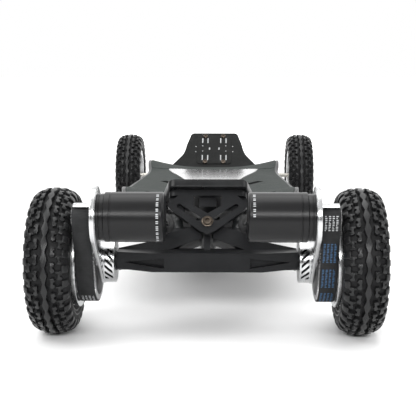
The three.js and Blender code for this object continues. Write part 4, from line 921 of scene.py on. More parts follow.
# ---------------------------------------------------------------- belt drive
@dataclass
class Drive:
    """The belt drive of one side of the rear truck: pulleys, belt, motor, mount and lead."""

    shop: Workshop
    sign: int
    inner: float = 147.0
    width: float = 25.0
    belt_width: float = 23.0
    motor_radius: float = 32.2
    mount_inner: float = 139.0

    @property
    def place(self) -> Array:
        """From the +X side of the rear truck's frame to the row frame."""
        return End.REAR.matrix @ (MIRROR if self.sign < 0 else np.eye(4))

    @property
    def motor(self) -> Array:
        """From the motor's own frame to the row frame."""
        return self.place @ shift_matrix(0, *MOTOR_PLACE)

    @staticmethod
    def toothed(x: Sequence[float], teeth: int, tip: float, bore: float) -> Surface:
        """A toothed ring along X: the outside swings between tip and root as a clipped sine of the angle.

        Args:
            x: first and last X.
            teeth: number of teeth.
            tip: radius at the tips.
            bore: radius of the hole.

        Returns:
            The closed ring.
        """
        steps = teeth * 8
        angle = np.arange(steps) * TURN / steps
        wave = np.clip(1.6 * np.cos(angle * teeth), -1, 1)
        outside = tip - TOOTH_DEPTH * (1 - wave) / 2
        levels = [(x[0], bore, 0.0), (x[0], None, 0.5), (x[0] + 0.5, None, 0.0), (x[1] - 0.5, None, 0.0),
                  (x[1], None, 0.5), (x[1], bore, 0.0)]
        rings = []
        for place, fixed, inset in levels:
            r = np.full(steps, fixed) if fixed is not None else outside - inset
            rings.append(ring_points(place, r, angle))
        return Surface.grid(np.stack(rings), wrap_u=True, wrap_v=True)

    def wheel_pulley(self) -> Surface:
        """The big pulley: toothed rim, ribbed dish, and the bright flange and boss on the wheel's side."""
        end = self.inner + self.width
        teeth = self.toothed((self.inner, end), WHEEL_TEETH, WHEEL_TIP_RADIUS, 46.5)
        web = Surface.turned([(end - 5, 14.2), (end - 5, 26), (end - 3.5, 44), (end - 6, 47.2), (end, 47.2),
                              (end, 14.2)], 96)
        flange = Surface.turned([(end, 44), (end, 62.4), (end + 0.6, 63), (end + 5.4, 63), (end + 6, 62.4),
                                 (end + 6, 52), (end + 4.6, 50), (end + 4.6, 44)], 128)
        boss = Surface.turned([(end - 1, 14.2), (end - 1, 20), (end + 6, 19), (188.6, 18), (189.1, 17.4),
                               (189.1, 14.2)], 64)
        return teeth + web.in_slot(1) + flange.in_slot(1) + boss.in_slot(1)

    def pulley_bolts(self) -> Surface:
        """Five cap screws in the dish of the big pulley."""
        x = self.inner + self.width - 6.5
        profile = [(x, 0), (x + 0.01, 2.2), (x - 2.6, 2.3), (x - 2.6, 4.0), (x - 2.0, 4.6), (x + 2.5, 4.6),
                   (x + 2.5, 0)]
        screw = Surface.turned(profile, 24, closed=False).moved(z=34.0)
        return spun(screw, 5, 0.3)

    def motor_pulley(self) -> Surface:
        """The small pulley."""
        end = self.inner + self.width
        return self.toothed((self.inner, end), MOTOR_TEETH, MOTOR_TIP_RADIUS, 4.3)

    def belt(self) -> Surface:
        """The belt: a closed band whose back is finely ribbed crosswise."""
        start = self.inner + (self.width - self.belt_width) / 2
        inner, outer = self.resampled(GAP), self.resampled(GAP + 1.75)
        rib = 0.12 * np.where(np.arange(BELT_STEPS) % 4 < 2, 1.0, -1.0)
        along = np.roll(outer, -1, axis=0) - np.roll(outer, 1, axis=0)
        normal = np.stack([along[:, 1], -along[:, 0]], axis=1)
        normal /= np.linalg.norm(normal, axis=1, keepdims=True)
        ribbed = outer + normal * rib[:, None]
        soft = outer - normal * 0.35
        levels = [(start, inner), (start, soft), (start + 0.5, ribbed), (start + self.belt_width - 0.5, ribbed),
                  (start + self.belt_width, soft), (start + self.belt_width, inner)]
        rings = [np.concatenate([np.full((BELT_STEPS, 1), x), line], axis=1) for x, line in levels]
        return Surface.grid(np.stack(rings), wrap_u=True, wrap_v=True)

    @staticmethod
    def resampled(height: float) -> Array:
        """Evenly spaced points on the belt's path at a height over the pulleys' tips."""
        line = belt_outline((0, 0), WHEEL_TIP_RADIUS + height, MOTOR_PLACE, MOTOR_TIP_RADIUS + height, 96)
        closed = np.concatenate([line, line[:1]])
        length = np.concatenate([[0], np.cumsum(np.linalg.norm(np.diff(closed, axis=0), axis=1))])
        place = np.arange(BELT_STEPS) * length[-1] / BELT_STEPS
        return np.stack([np.interp(place, length, closed[:, k]) for k in (0, 1)], axis=1)

    def belt_marks(self) -> Surface:
        """Short bars printed in columns on the back of the belt: pale ones, then blue ones on the right belt."""
        outer = self.resampled(GAP + 1.88)
        if self.sign > 0:
            rows = [(spot, 0) for spot in range(556, 590, 4)]
            rows += [(spot % BELT_STEPS, 1) for spot in range(622, 800, 4) if (spot - 622) % 64 < 48]
        else:
            rows = [(spot, 0) for spot in range(44, 76, 4)]
        marks = []
        for number, (spot, slot) in enumerate(rows):
            low, high = outer[spot], outer[(spot + 2) % BELT_STEPS]
            step = (high - low) / np.linalg.norm(high - low)
            out = np.array([0, step[1], -step[0]]) * 0.06
            for column in range(4):
                x = self.inner + 3.6 + column * 4.7 + np.array([0.0, 2.6 if (number + column) % 4 else 1.4])
                corners = np.array([[x[0], *low], [x[1], *low], [x[1], *high], [x[0], *high]])
                marks.append(Surface.stack(np.stack([corners - out * 3, corners + out]), slot=1 + slot))
        return joined(marks)

    def housing(self) -> Surface:
        """The motor's can: a turned shell with a rounded inner end, a shallow groove and a rolled rim."""
        r = self.motor_radius
        profile = [(53.0, 0.0), (53.0, 9.0), (53.3, 9.5), (53.3, 24.5), (53.0, 25.0), (53.0, 28.4), (53.6, 30.2),
                   (54.8, 31.6), (56.4, r), (120.4, r), (120.8, r - 0.5), (121.8, r - 0.5), (122.2, r), (128.6, r),
                   (129.0, r - 0.4), (129.0, 29.2), (57.0, 29.2), (57.0, 0.0)]
        return Surface.turned(profile, 128, closed=False)

    def vents(self) -> Surface:
        """Raised arcs round the motor's inner end, like the lands between its cooling slots."""
        x, r = np.array([(52.99, 12.0), (52.99, 23.0), (53.4, 23.0), (53.4, 12.0)]).T
        angle = np.linspace(-0.22, 0.22, 9)[:, None]
        return spun(Surface.stack(ring_points(x, r, angle)), 9, 0.1)

    def end_cap(self) -> Surface:
        """The motor's fixed end: a stepped disc with a spigot inside the can."""
        profile = [(124.0, 4.3), (124.0, 28.9), (129.3, 28.9), (129.3, 29.7), (129.7, 30.2), (134.0, 30.2),
                   (134.4, 29.6), (135.2, 29.6), (135.6, 30.2), (138.2, 30.2), (138.7, 29.7), (138.7, 4.3)]
        return Surface.turned(profile, 128)

    def ticks(self) -> Surface:
        """Short pale ticks round the can, close to its inner end."""
        r = self.motor_radius + 0.03
        x = np.array([59.4, 59.4, 62.6, 62.6])
        tick = Surface.stack(ring_points(x, np.array([r - 0.2, r, r, r - 0.2]), np.array([[-0.02], [0.02]])))
        turns = [1.9 + 0.07 * k for k in range(16 if self.sign > 0 else 34) if k % 7 not in (3, 6)]
        return repeated(tick, np.stack([turn_matrix("x", turn) for turn in turns]))

    def mount(self) -> Surface:
        """The mount: a pear-shaped plate with a raised face, the guard, and the clamp round the stub."""
        low, high, raised, inset = self.mount_inner, self.mount_inner + 6.0, 0.4, 3.5
        head, foot = 39.9, 30.9
        body = plate(belt_outline(MOTOR_PLACE, head, (0, 0), foot, 64), low, high, 0.7)
        face = belt_outline(MOTOR_PLACE, head - inset, (0, 0), foot - inset, 64)
        return body + plate(face, low - raised, low + raised, 0.3) + self.guard() + self.clamp()

    def guard(self) -> Surface:
        """The guard on the mount: a curved strip that stands out over the belt at the motor's pulley."""
        angle = np.linspace(1.15, 2.2, 24)[:, None]
        x, r = rounded([(144.6, 16.4), (170.0, 16.4), (170.0, 18.0), (144.6, 18.0)], 0.5, 2).T
        return Surface.stack(ring_points(x, r, angle)).moved(0, *MOTOR_PLACE)

    def clamp(self) -> Surface:
        """The clamp round the hanger's stub: a ring with a row of slanting slots across its back. The faces inside
        the slots take the second finish, dark rubber, as painted shade in the grooves.
        """
        steps, radius, bore, depth, pitch = 240, 29.9, 13.3, 3.5, 9.0
        angle = np.arange(steps) * TURN / steps
        x = np.linspace(124.6, 138.4, 47)
        back = np.abs(angle - math.pi) < 0.75
        within = (x > 126.4) & (x < 137.2)
        across = (angle - math.pi) * radius + (x[:, None] - 131.5) * 0.9 + pitch / 2
        slot = back & within[:, None] & (across % pitch < 3.4)
        surface = ring_points(x[:, None], np.where(slot, radius - depth, radius), angle)
        low, high = [ring_points(np.full((2, 1), place), np.array(side)[:, None], angle)
                     for place, side in ((124.0, (bore, radius - 0.7)), (139.2, (radius, bore)))]
        rings = np.concatenate([low, surface, high])
        ring = Surface.grid(rings, wrap_u=True, wrap_v=True)
        quads = ring.blocks[0][0]
        row, column = np.divmod(np.arange(len(quads)), steps)
        inside = (row > 1) & (row < len(rings) - 3)
        # painted shade: the faces inside the slots get the dark second finish
        dark = inside & slot[np.clip(row - 2, 0, len(x) - 1), column]
        return Surface(ring.points, [(quads[~dark], 0), (quads[dark], 1)])

    def cable(self) -> Surface:
        """The motor's lead, from its inner end over the hanger and along the deck into the enclosure."""
        route = np.array([(52.4, -60, 54), (48, -60, 54), (45.5, -50, 57), (48, -32, 61), (55, -6, 62), (62, 24, 56),
                          (65, 58, 42), (65, 98, 24), (63, 145, 10), (60, 200, 3.12), (60, 271, 3.12)])
        return tube(spline(route, 200), 4.2, 20)

    def dress(self) -> None:
        """Places the drive's pieces."""
        side = End.REAR.side(self.sign)
        wheel, hanger, rotor = f"rear_{side}_wheel", "rear_hanger", f"{side}_rotor"
        place, motor, shop = self.place, self.motor, self.shop
        pulley = self.wheel_pulley() + self.pulley_bolts().in_slot(2)
        shop.new(f"{side}_wheel_pulley_fine", pulley.placed(place), [PULLEY, SILVER, STEEL], wheel,
                 [f"{side}_wheel_pulley"])
        shop.new(f"{side}_motor_pulley_fine", self.motor_pulley().placed(motor), [PULLEY], rotor,
                 [f"{side}_motor_pulley"])
        shop.new(f"{side}_drive_belt_fine", self.belt().placed(place) + self.belt_marks().placed(place),
                 [BELT, MARKING, BLUE_MARKING], hanger, [f"{side}_drive_belt"], sharp=50)
        shop.new(f"{side}_motor_housing_fine",
                 self.housing().placed(motor) + self.vents().placed(motor).in_slot(1)
                 + self.ticks().placed(motor).in_slot(2),
                 [MOTOR, ANODISED, MARKING], hanger, [f"{side}_motor_housing"])
        shop.new(f"{side}_motor_end_cap_fine", self.end_cap().placed(motor), [MOTOR], hanger,
                 [f"{side}_motor_end_cap"])
        # The mount's second finish, dark rubber, is painted shade inside the clamp's slots.
        shop.new(f"{side}_motor_mount_fine", self.mount().placed(place), [SILVER, RUBBER], hanger,
                 [f"{side}_motor_mount"])
        cable = shop.new(f"{side}_motor_cable_fine", self.cable().placed(place), [RUBBER], "",
                         [f"{side}_motor_cable"])
        start = place @ np.array([50, -40, 58, 1.0])
        end = place @ np.array([63, 90, 26, 1.0])
        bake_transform(cable, hanger, "deck", tuple(start[:3] * MM), tuple(end[:3] * MM))


# ---------------------------------------------------------------- trucks
@dataclass
class Truck:
    """The parts of one truck other than its wheels and drive."""

    shop: Workshop
    end: End
    damper_y: float = 6.5

    def damper(self, sign: int) -> Surface:
        """A urethane damper: a turned block with a soft waist and rounded rims, in the kingpin's frame."""
        low, high = -6.5, 18.5
        z = np.array([0.0, 0.0, 0.03, 0.1, 0.3, 0.42, 0.5, 0.58, 0.7, 0.9, 0.97, 1.0, 1.0])
        r = np.array([0.0, 9.3, 10.0, 10.4, 10.3, 9.4, 9.0, 9.4, 10.3, 10.4, 10.0, 9.3, 0.0])
        profile = np.stack([low + (high - low) * z, r], axis=1)
        block = Surface.turned(profile, 48, closed=False).placed(turn_matrix("y", -math.pi / 2))
        return block.moved(sign * DAMPER_X, self.damper_y)

    def kingpin(self) -> Surface:
        """The kingpin: a turned screw with a chamfered head and a hexagonal socket."""
        steps = 72
        angle = np.arange(steps) * TURN / steps
        start = -13.0 - GAP - 4.5
        profile = [(start + 3.0, 3.7, True), (start + 0.3, 3.7, True), (start, 4.6, False), (start, 6.0, False),
                   (start + 0.7, 6.6, False), (start + 4.5, 6.6, False), (start + 4.5, 4.9, False),
                   (66.0, 4.9, False), (66.6, 4.4, False)]
        rings = []
        for place, radius, socket in profile:
            r = hexagon(radius, angle) if socket else np.full(steps, radius)
            rings.append(ring_points(place, r, angle)[:, [1, 0, 2]])
        return Surface.stack(np.stack(rings))

    def bolt_plate(self) -> Surface:
        """The plate on the tip, with four cap screws through the deck, in the kingpin's frame."""
        top, half_x, half_y, middle = 63.5, 39.9, 51.3, 40.2
        outline = rounded([(half_x, half_y), (-half_x, half_y), (-half_x, -half_y), (half_x, -half_y)], 9, 8)
        levels = [(top - 1.6, 0.0), (top - 0.4, 0.0), (top - 0.1, 0.12), (top, 0.4)]
        rings = np.stack([np.concatenate([outline * (1 - inset / half_x), np.full((len(outline), 1), z)], axis=1)
                          for z, inset in levels])
        plate_body = Surface.stack(rings).moved(y=middle)
        profile = [(40.0, 0), (40.0, 2.9), (top - 0.3, 2.9), (top - 0.3, 5.5), (top + 2.3, 5.5), (top + 2.9, 4.9),
                   (top + 2.9, 2.8), (top + 1.4, 2.6), (top + 1.4, 0)]
        screw = Surface.turned(profile, 24, closed=False).placed(turn_matrix("y", -math.pi / 2)).in_slot(1)
        places = [(x, y) for x in (-21, 21) for y in (-5.8, 86.2)]
        return plate_body + joined([screw.moved(x, y) for x, y in places])

    def washer(self) -> Surface:
        """The washer under the kingpin's head."""
        profile = [(-14.1, 5.2), (-14.1, 7.6), (-13.8, 8.0), (-13.15, 8.0), (-13.15, 5.2)]
        ring = Surface.turned(profile, 64)
        return ring.placed(turn_matrix("z", math.pi / 2))

    def dress(self) -> None:
        """Places the truck's pieces."""
        shop, label = self.shop, self.end.label
        for name, finish, bevel in (("truck_base", ANODISED, 0.8), ("hanger", ANODISED, 1.0),
                                    ("kingpin_nut", STEEL, 0.4), ("axle", STEEL, 0.3)):
            shop.carried(f"{label}_{name}", finish, bevel)
        plates = self.bolt_plate().placed(self.end.kingpin)
        # The bolt plate takes the darker tip grip, painted shade of the steep tip, so that it matches the tip.
        shop.new(f"{label}_bolt_plate_fine", plates, [SHADED_TIP_GRIP, BRONZE], "deck", [f"{label}_bolt_plate"])
        pin = (self.kingpin() + self.washer()).placed(self.end.kingpin)
        shop.new(f"{label}_kingpin_fine", pin, [BRONZE], "deck", [f"{label}_kingpin"])
        for sign in (-1, 1):
            side = self.end.side(sign)
            block = shop.new(f"{label}_{side}_damper_fine", self.damper(sign).placed(self.end.kingpin), [URETHANE],
                             "", [f"{label}_{side}_damper"])
            low = self.end.kingpin @ np.array([sign * DAMPER_X, self.damper_y, -5.0, 1.0])
            high = self.end.kingpin @ np.array([sign * DAMPER_X, self.damper_y, 17.0, 1.0])
            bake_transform(block, f"{label}_hanger", "deck", tuple(low[:3] * MM), tuple(high[:3] * MM))


# ---------------------------------------------------------------- deck
@dataclass
class DeckShape:
    """The deck's form: a shallow camber arc, a tight bend and a straight raised tip on each half."""

    middle_z: float = 149.125
    middle_y: float = 4.0
    camber: float = math.radians(4.7)
    bend_radius: float = 30.0
    tip_rise: float = 57.5
    tip_corner: float = 9.0
    thickness: float = 12.5
    half: float = 446.954

    def __post_init__(self) -> None:
        """Works out the lengths that follow from the sizes."""
        run = self.bend_radius * (math.sin(self.camber) + math.sin(TIP_ANGLE))
        rise = self.bend_radius * (math.cos(self.camber) - math.cos(TIP_ANGLE))
        slope = math.tan(TIP_ANGLE)
        self.reach = (slope * (self.half - run) - (self.tip_rise - rise)) / (slope + math.tan(self.camber / 2))
        self.camber_radius = self.reach / math.sin(self.camber)
        self.camber_length = self.camber_radius * self.camber
        self.bend_length = self.bend_radius * (self.camber + TIP_ANGLE)
        self.tip_length = (self.half - run - self.reach) / math.cos(TIP_ANGLE)
        self.run = self.camber_length + self.bend_length + self.tip_length

    def profile(self, along: Array) -> tuple[Array, Array, Array, Array]:
        """Side view of the top surface at distances along it from the middle.

        Args:
            along: signed distances.

        Returns:
            y, z and the y and z of the normal.
        """
        away, side = np.abs(along), np.where(along < 0, -1.0, 1.0)
        arc = np.minimum(away, self.camber_length) / self.camber_radius
        y = self.camber_radius * np.sin(arc)
        z = -self.camber_radius * (1 - np.cos(arc))
        turned = np.clip(away - self.camber_length, 0, self.bend_length) / self.bend_radius
        slope = np.where(away > self.camber_length, turned - self.camber, -arc)
        y = y + np.where(turned > 0, self.bend_radius * (math.sin(self.camber) + np.sin(slope)), 0)
        z = z + np.where(turned > 0, self.bend_radius * (math.cos(self.camber) - np.cos(slope)), 0)
        straight = np.maximum(away - self.camber_length - self.bend_length, 0)
        y = y + straight * math.cos(TIP_ANGLE)
        z = z + straight * math.sin(TIP_ANGLE)
        return self.middle_y + side * y, self.middle_z + z, -side * np.sin(slope), np.cos(slope)

    @staticmethod
    def smooth(knots: Sequence[Sequence[float]], place: Array) -> Array:
        """A smooth line through knots (place, height): a cubic on each span with averaged slopes, flat outside."""
        at, height = np.asarray(knots, float).T
        last = len(at) - 1
        before, after = np.maximum(np.arange(last + 1) - 1, 0), np.minimum(np.arange(last + 1) + 1, last)
        slope = (height[after] - height[before]) / (at[after] - at[before])
        x = np.clip(place, at[0], at[-1])
        i = np.clip(np.searchsorted(at, x, side="right") - 1, 0, last - 1)
        span, rise = at[i + 1] - at[i], height[i + 1] - height[i]
        t = (x - at[i]) / span
        start, end = slope[i] * span, slope[i + 1] * span
        return height[i] + t * (start + t * (3 * rise - 2 * start - end + t * (start + end - 2 * rise)))

    def half_width(self, along: Array) -> Array:
        """Half width at distances along the deck, with the tip's corners rounded off."""
        from_tip = self.run - np.abs(along)
        tip = [(0, 55), (12, 57), (40, 64), (62, 68), (78, 73), (98, 85), (124, 102)]
        rear = self.smooth([*tip, (170, 128), (225, 144), (285, 145), (self.run, 140)], from_tip)
        front = self.smooth([*tip, (170, 129), (215, 141), (300, 135), (self.run, 140)], from_tip)
        corner = np.clip(self.tip_corner - from_tip, 0, self.tip_corner)
        return np.where(along < 0, rear, front) - (
            self.tip_corner - np.sqrt(self.tip_corner**2 - corner**2))

    def lift(self, along: Array) -> Array:
        """Height of the deck's edges over its middle."""
        from_tip = self.run - np.abs(along)
        rear = self.smooth([(120, 0), (165, 13.2), (205, 22.8), (240, 24), (320, 9.6), (self.run, 0)], from_tip)
        front = self.smooth([(120, 0), (165, 12), (205, 20), (240, 17), (320, 0), (self.run, 0)], from_tip)
        return np.where(along < 0, rear, front)

    def points(self, along: Array, x: Array, offset: Array) -> Array:
        """Points over the top surface.

        Args:
            along: distances along the deck, shape (S, 1) or (S, N).
            x: places across, in millimetres, of a shape that goes with it.
            offset: heights over the surface along its normal.

        Returns:
            Points of shape (S, N, 3).
        """
        y, z, ny, nz = self.profile(along)
        share = x / self.half_width(along)
        rise = offset + self.lift(along) * share**2
        shape = np.broadcast_shapes(x.shape, rise.shape)
        parts = [np.broadcast_to(part, shape) for part in (x, y + rise * ny, z + rise * nz)]
        return np.stack(parts, axis=-1)

    def along_at(self, y: Array) -> Array:
        """Distance along the deck whose top lies at places on Y, from the deck's middle."""
        table = np.linspace(-self.run, self.run, 4001)
        return np.interp(y, self.profile(table)[0] - self.middle_y, table)


PANEL_REAR, PANEL_NECK, PANEL_FRONT = -120.0, -32.0, 185.0
PANEL_NECK_HALF, PANEL_FRONT_HALF = 46.0, 94.0
SEAM = 2.2


@dataclass
class Deck:
    """The deck with its skins, inlays and markings."""

    shop: Workshop
    shape: DeckShape = field(default_factory=DeckShape)
    edge: float = 1.8

    def body(self) -> Surface:
        """The deck: stations along it, each a rounded section. The tips' tops use the second finish, a darker copy of
        the grip tape that paints the shade of the steep tips.
        """
        shape, edge = self.shape, self.edge
        ends = edge * (1 - np.cos(np.linspace(0, math.pi / 2, 4)))
        corner = shape.tip_corner * (1 - np.cos(np.linspace(0.42, math.pi / 2, 8)))
        tip = np.linspace(shape.tip_corner + 3, shape.tip_length, 30)
        bend = np.linspace(shape.tip_length, shape.tip_length + shape.bend_length, 14)[1:]
        camber = np.linspace(shape.tip_length + shape.bend_length, shape.run, 70)[1:]
        from_tip = np.concatenate([ends, corner[corner > edge + 0.2], tip, bend, camber])
        half = shape.run - from_tip
        along = np.concatenate([-half, half[-2::-1]])[:, None]
        end_inset = np.maximum(edge - (shape.run - np.abs(along)), 0)
        trim = edge - np.sqrt(np.maximum(edge**2 - end_inset**2, 0))
        turn = np.linspace(0, math.pi / 2, 5)
        share = np.linspace(-1, 1, 33)
        upper = np.stack([np.ones(4), 1 - np.sin(turn[1:]), 1 - np.cos(turn[1:])])
        lower = np.stack([np.ones(5), 1 - np.cos(turn), 1 - np.sin(turn)])
        width = shape.half_width(along)
        flat_x = share[None] * (width - edge)
        right_x = width - edge * upper[1][None]
        right_down = edge * upper[2][None]
        low_x = width - edge * lower[1][None]
        low_up = edge * lower[2][None]
        x = np.concatenate([flat_x, right_x, low_x, flat_x[:, ::-1], -low_x[:, ::-1], -right_x[:, ::-1]], axis=1)
        zero = np.zeros_like(flat_x)
        fall = -np.broadcast_to(right_down, right_x.shape)
        foot = -shape.thickness + np.broadcast_to(low_up, low_x.shape)
        rise = np.concatenate([zero, fall, foot, zero - shape.thickness, foot[:, ::-1], fall[:, ::-1]], axis=1)
        middle = -shape.thickness / 2
        rise = middle + np.clip(rise - middle, middle + trim, -middle - trim)
        rings = shape.points(along, x, rise)
        surface = Surface.stack(rings)
        quads = surface.blocks[0][0]
        station, column = np.divmod(np.arange(len(quads)), rings.shape[1])
        # painted shade: the tips' tops take the darker copy of the grip finish
        tips = (np.abs(along[station, 0]) > shape.camber_length + 4) & (column < 32)
        return Surface(surface.points, [(quads[~tips], 0), (quads[tips], 1), *surface.blocks[1:]])

    def slab(self, place: Callable[[Array, Array], tuple[Array, Array]], rows: int, columns: int, low: float,
             high: float, rims: tuple[bool, bool] = (True, True), edge: float = 0.5) -> Surface:
        """A thin slab on the deck over a patch of it, with a rounded rim.

        Args:
            place: gives x and y, from the deck's middle, at shares across and along the patch.
            rows: stations along.
            columns: places across.
            low: height of the underside over the deck.
            high: height of the top.
            rims: whether the first and last rows are rounded too.
            edge: width of the rounding.

        Returns:
            The closed slab.
        """
        tiny = 0.003
        u = np.concatenate([[0], np.linspace(tiny, 1 - tiny, columns), [1]])[None, :]
        t = np.concatenate([[0], np.linspace(tiny, 1 - tiny, rows), [1]])[:, None]
        x, y = place(np.broadcast_to(u, (rows + 2, columns + 2)), np.broadcast_to(t, (rows + 2, columns + 2)))
        drop = np.zeros(x.shape)
        drop[:, [0, -1]] = edge
        drop[0] = np.maximum(drop[0], edge * rims[0])
        drop[-1] = np.maximum(drop[-1], edge * rims[1])
        along = self.shape.along_at(y)
        top = self.shape.points(along, x, high - drop)
        return Surface.block(top, self.shape.points(along, x, np.full(x.shape, low)))

    @staticmethod
    def front_line(x: Array) -> Array:
        """Place on Y of the panel's curved front, by distance from the middle."""
        return np.interp(np.abs(x), [0, 24, 47, 70, 94], [205, 204.5, 202, 195.8, 185])

    def panel_place(self, u: Array, t: Array) -> tuple[Array, Array]:
        """Places on the panel: a narrow neck that flares to the deck's width, with a curved front."""
        base = PANEL_REAR + (PANEL_FRONT - PANEL_REAR) * t
        x = (2 * u - 1) * self.panel_half(base)
        return x, base + (self.front_line((2 * u - 1) * PANEL_FRONT_HALF) - PANEL_FRONT) * t**6

    def rear_place(self, u: Array, t: Array) -> tuple[Array, Array]:
        """Places on the rear skin behind the panel."""
        y = -self.shape.reach + (self.shape.reach + PANEL_REAR - SEAM) * t
        return (2 * u - 1) * self.edge_half(y), y

    def flank_place(self, u: Array, t: Array) -> tuple[Array, Array]:
        """Places on the rear skin beside the panel, on the +X side."""
        y = PANEL_REAR - SEAM + (PANEL_FRONT - PANEL_REAR) * t
        outer = self.edge_half(y)
        inner = np.minimum(self.panel_half(y) + 2.4, outer - 0.4)
        return inner + (outer - inner) * u, y

    def neck_place(self, u: Array, t: Array) -> tuple[Array, Array]:
        """Places on the front skin."""
        line = self.front_line((2 * u - 1) * 126) + SEAM
        y = line + (self.shape.reach - line) * t
        return (2 * u - 1) * self.edge_half(y), y

    def mark(self, x: float, from_tip: float, half_x: float, half_s: float) -> Surface:
        """A small rounded plate set into the nose, higher where x is under 40 mm."""
        over = 1.9 if x < 40 else 0.0
        outline = rounded([(half_x, half_s), (-half_x, half_s), (-half_x, -half_s), (half_x, -half_s)],
                          min(half_x, half_s), 4)
        along = self.shape.run - from_tip - outline[:, 1]
        rings = [self.shape.points(along, x + outline[:, 0], np.full(len(outline), over + height))
                 for height in (-0.6, 0.1)]
        return Surface.stack(np.stack(rings))

    def slit(self, start: Sequence[float], end: Sequence[float], width: float) -> Surface:
        """A thin strip laid on the rear skin from one place (x, y) to another, given a near-black finish as painted
        shade inside the slit.

        Args:
            start: first end.
            end: second end.
            width: width of the strip.

        Returns:
            The strip.
        """
        first, last = np.asarray(start, float), np.asarray(end, float)
        along = (last - first) / np.linalg.norm(last - first)
        share = np.linspace(0, 1, 12)[:, None]
        line = first + (last - first) * share
        side = np.array([-along[1], along[0]]) * width / 2
        sheets = []
        for offset in (1.62, 1.3):
            rows = [self.shape.points(self.shape.along_at(edge[:, 1]), edge[:, 0], np.full(len(edge), offset))
                    for edge in (line - side, line + side)]
            sheets.append(np.stack(rows, axis=1))
        return Surface.block(sheets[0], sheets[1])

    def panel_half(self, y: Array) -> Array:
        """Half width of the glossy panel: a narrow neck that flares to the deck's width."""
        return np.interp(y, [PANEL_NECK, PANEL_FRONT], [PANEL_NECK_HALF, PANEL_FRONT_HALF])

    def edge_half(self, y: Array) -> Array:
        """Half width of the skins: the deck's, less an even margin."""
        return self.shape.half_width(self.shape.along_at(y)) - 6.0

    def dress(self) -> None:
        """Places the deck, its skins and its markings."""
        shop = self.shop
        # The deck's second finish, the darker tip grip, is painted shade on the steep tips.
        shop.new("deck_fine", self.body(), [COMPOSITE, SHADED_TIP_GRIP], "deck", ["deck"], sharp=50)
        skin_top, panel_top = GAP + 1.2, GAP + 1.8
        flank = self.slab(self.flank_place, 70, 14, GAP, skin_top, (False, True))
        rear = self.slab(self.rear_place, 70, 60, GAP, skin_top, (True, False)) + flank + flank.placed(MIRROR)
        shop.new("rear_grip_fine", rear, [GRIP], "deck", ["rear_grip_tape"], sharp=60)
        shop.new("front_grip_fine", self.slab(self.neck_place, 70, 60, GAP, skin_top), [GRIP], "deck",
                 ["front_grip_tape"], sharp=60)
        panel = self.slab(self.panel_place, 90, 60, GAP, panel_top, edge=0.8)
        shop.new("centre_panel_fine", panel, [GLOSS], "deck",
                 ["centre_panel"], sharp=60)
        spots = [(15, 31, 1.3, 9), (27.5, 31, 1.3, 9), (15, 92, 1.3, 9), (27.5, 92, 1.3, 9), (11, 60, 1.5, 4),
                 (27, 50, 1.3, 1.3), (43, 50, 1.3, 1.3), (27, 69, 1.3, 1.3), (43, 69, 1.3, 1.3)]
        slits = self.slit((66, -74), (91, -32), 13.0) + self.slit((82, -266), (104, -209), 12.0)
        # The slits are real; their near-black strips are painted shade inside them.
        shop.new("grip_slits", slits + slits.placed(MIRROR), [SLIT_SHADE], "deck", [])
        marks = joined([self.mark(x, s, a, b) for x, s, a, b in spots])
        shop.new("nose_marks", marks + marks.placed(MIRROR), [MARKING], "deck", [])


